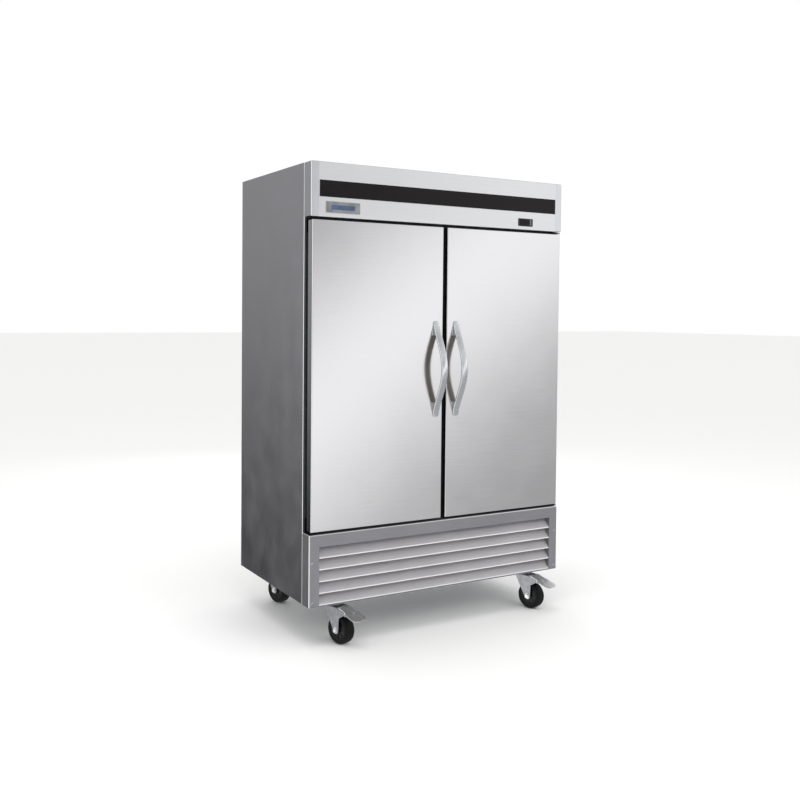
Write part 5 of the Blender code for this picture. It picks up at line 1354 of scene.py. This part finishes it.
def gasket(name, body):
    """PVC extrusion, welded at the mitred corners: a hollow bellows with the magnet at its face."""
    low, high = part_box(f"{name}_gasket")
    back, face = low.y, high.y
    deep = face - back
    wide = 0.018
    section = [(0.0030, back), (0.0150, back), (0.0150, back + 0.10 * deep), (0.0128, back + 0.22 * deep),
               (0.0162, back + 0.36 * deep), (0.0120, back + 0.50 * deep), (0.0168, back + 0.60 * deep),
               (wide, back + 0.70 * deep), (wide, face), (0.0, face), (0.0, back + 0.70 * deep),
               (0.0012, back + 0.60 * deep), (0.0058, back + 0.50 * deep), (0.0018, back + 0.36 * deep),
               (0.0052, back + 0.22 * deep), (0.0030, back + 0.10 * deep)]
    rings = []
    for sx, sz in ((0, 0), (1, 0), (1, 1), (0, 1)):
        ring = []
        for inset, y in section:
            x = low.x + inset if sx == 0 else high.x - inset
            z = low.z + inset if sz == 0 else high.z - inset
            ring.append((x, y, z))
        rings.append(ring)
    bm = bmesh.new()
    add_rings(bm, rings, closed_rings=True)
    piece(f"{name}_gasket_bellows", bm, gasket_vinyl, body, [f"{name}_gasket"], radius=0.0004)


def handle(name, body):
    """Bow pull lofted through rounded sections: solid feet and a flat, arched strap between them."""
    low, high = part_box(f"{name}_handle")
    x = (low.x + high.x) / 2
    middle = (low.z + high.z) / 2
    half = (high.z - low.z) / 2
    foot = half - HANDLE_FOOT
    seat = high.y
    tail = 0.0030
    rise = seat - low.y - tail

    def outer(along):
        return tail + rise * math.cos(math.pi / 2 * min(abs(along) / half, 1.0)) ** 1.5

    def section(along, inner):
        """Rounded rectangle between the outer face and the inner one, softer towards the ends."""
        face = seat - outer(along)
        inset = max(abs(along) - (half - HANDLE_END_ROUND), 0.0)
        across = HANDLE_WIDTH / 2 - (HANDLE_END_ROUND - math.sqrt(max(HANDLE_END_ROUND ** 2 - inset ** 2, 0.0)))
        soft = min(0.0032, (inner - face) * 0.45)
        points = []
        for cx, cy, start in ((1, -1, -90), (1, 1, 0), (-1, 1, 90), (-1, -1, 180)):
            y = face + soft if cy < 0 else inner - soft
            for k in range(4):
                angle = math.radians(start + 30 * k)
                points.append((x + cx * (across - soft) + soft * math.cos(angle), y + soft * math.sin(angle),
                               middle + along))
        return points

    stations = []
    steps = 15
    for i in range(steps + 1):
        stations.append((half - 0.0002 - (HANDLE_FOOT - 0.0002) * (1 - math.cos(math.pi / 2 * i / steps)), True))
    strap_steps = 28
    for i in range(strap_steps + 1):
        stations.append((foot * (1 - i / strap_steps), False))
    stations += [(-along, solid) for along, solid in reversed(stations[:-1])]
    rings = []
    for along, solid in stations:
        inner = seat if solid else seat - outer(along) + HANDLE_STRAP
        rings.append(section(along, inner))
    bm = bmesh.new()
    add_rings(bm, rings)
    bmesh.ops.recalc_face_normals(bm, faces=bm.faces)
    # Faces turned to the door take a duller, warmer casting: partly the unpolished back, partly painted shade that
    # darkens the handle's reflection in the door.
    for face in bm.faces:
        if face.normal.y > 0.3:
            face.material_index = 1
    obj = piece(f"{name}_handle_bow", bm, handle_chrome, body, [f"{name}_handle"], smooth=40)
    obj.data.materials.append(handle_back_and_shade)


gasket_vinyl = moulded_plastic("pvc_gasket_charcoal", "#1d1d1f", "#2b2b2d", 0.55, 1.2)
handle_chrome = satin_chrome("zinc_casting_satin_chrome")
# Back of the handle: unpolished casting, and painted shade as well.
handle_back_and_shade = zinc_plate("zinc_casting_unpolished_painted_shade", "#c8c1b8", "#d2cbc1", 0.55, 0.3)
for door_name in ("left_door", "right_door"):
    skin_low, skin_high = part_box(f"{door_name}_skin")
    sheet_pan(f"{door_name}_pan", skin_low, skin_high, ("left", "right", "top", "bottom"), stainless, door_name,
              f"{door_name}_skin", 0.0028)
    dress(f"{door_name}_insulation", polyurethane)
    dress(f"{door_name}_inner_panel", stainless_inside, 0.0025)
    gasket(door_name, door_name)
    handle(door_name, door_name)
# The brackets are black partly as phosphated steel and partly as painted shade, so that they vanish into the dark gap
# beside the doors.
phosphate_and_gap_shade = zinc_plate("steel_phosphated_black_gap_shade", "#1c1c1d", "#262627", 0.45)
for hand_name in ("left", "right"):
    for end_name in ("lower", "upper"):
        dress(f"{hand_name}_hinge_bracket_{end_name}", phosphate_and_gap_shade, 0.0006)
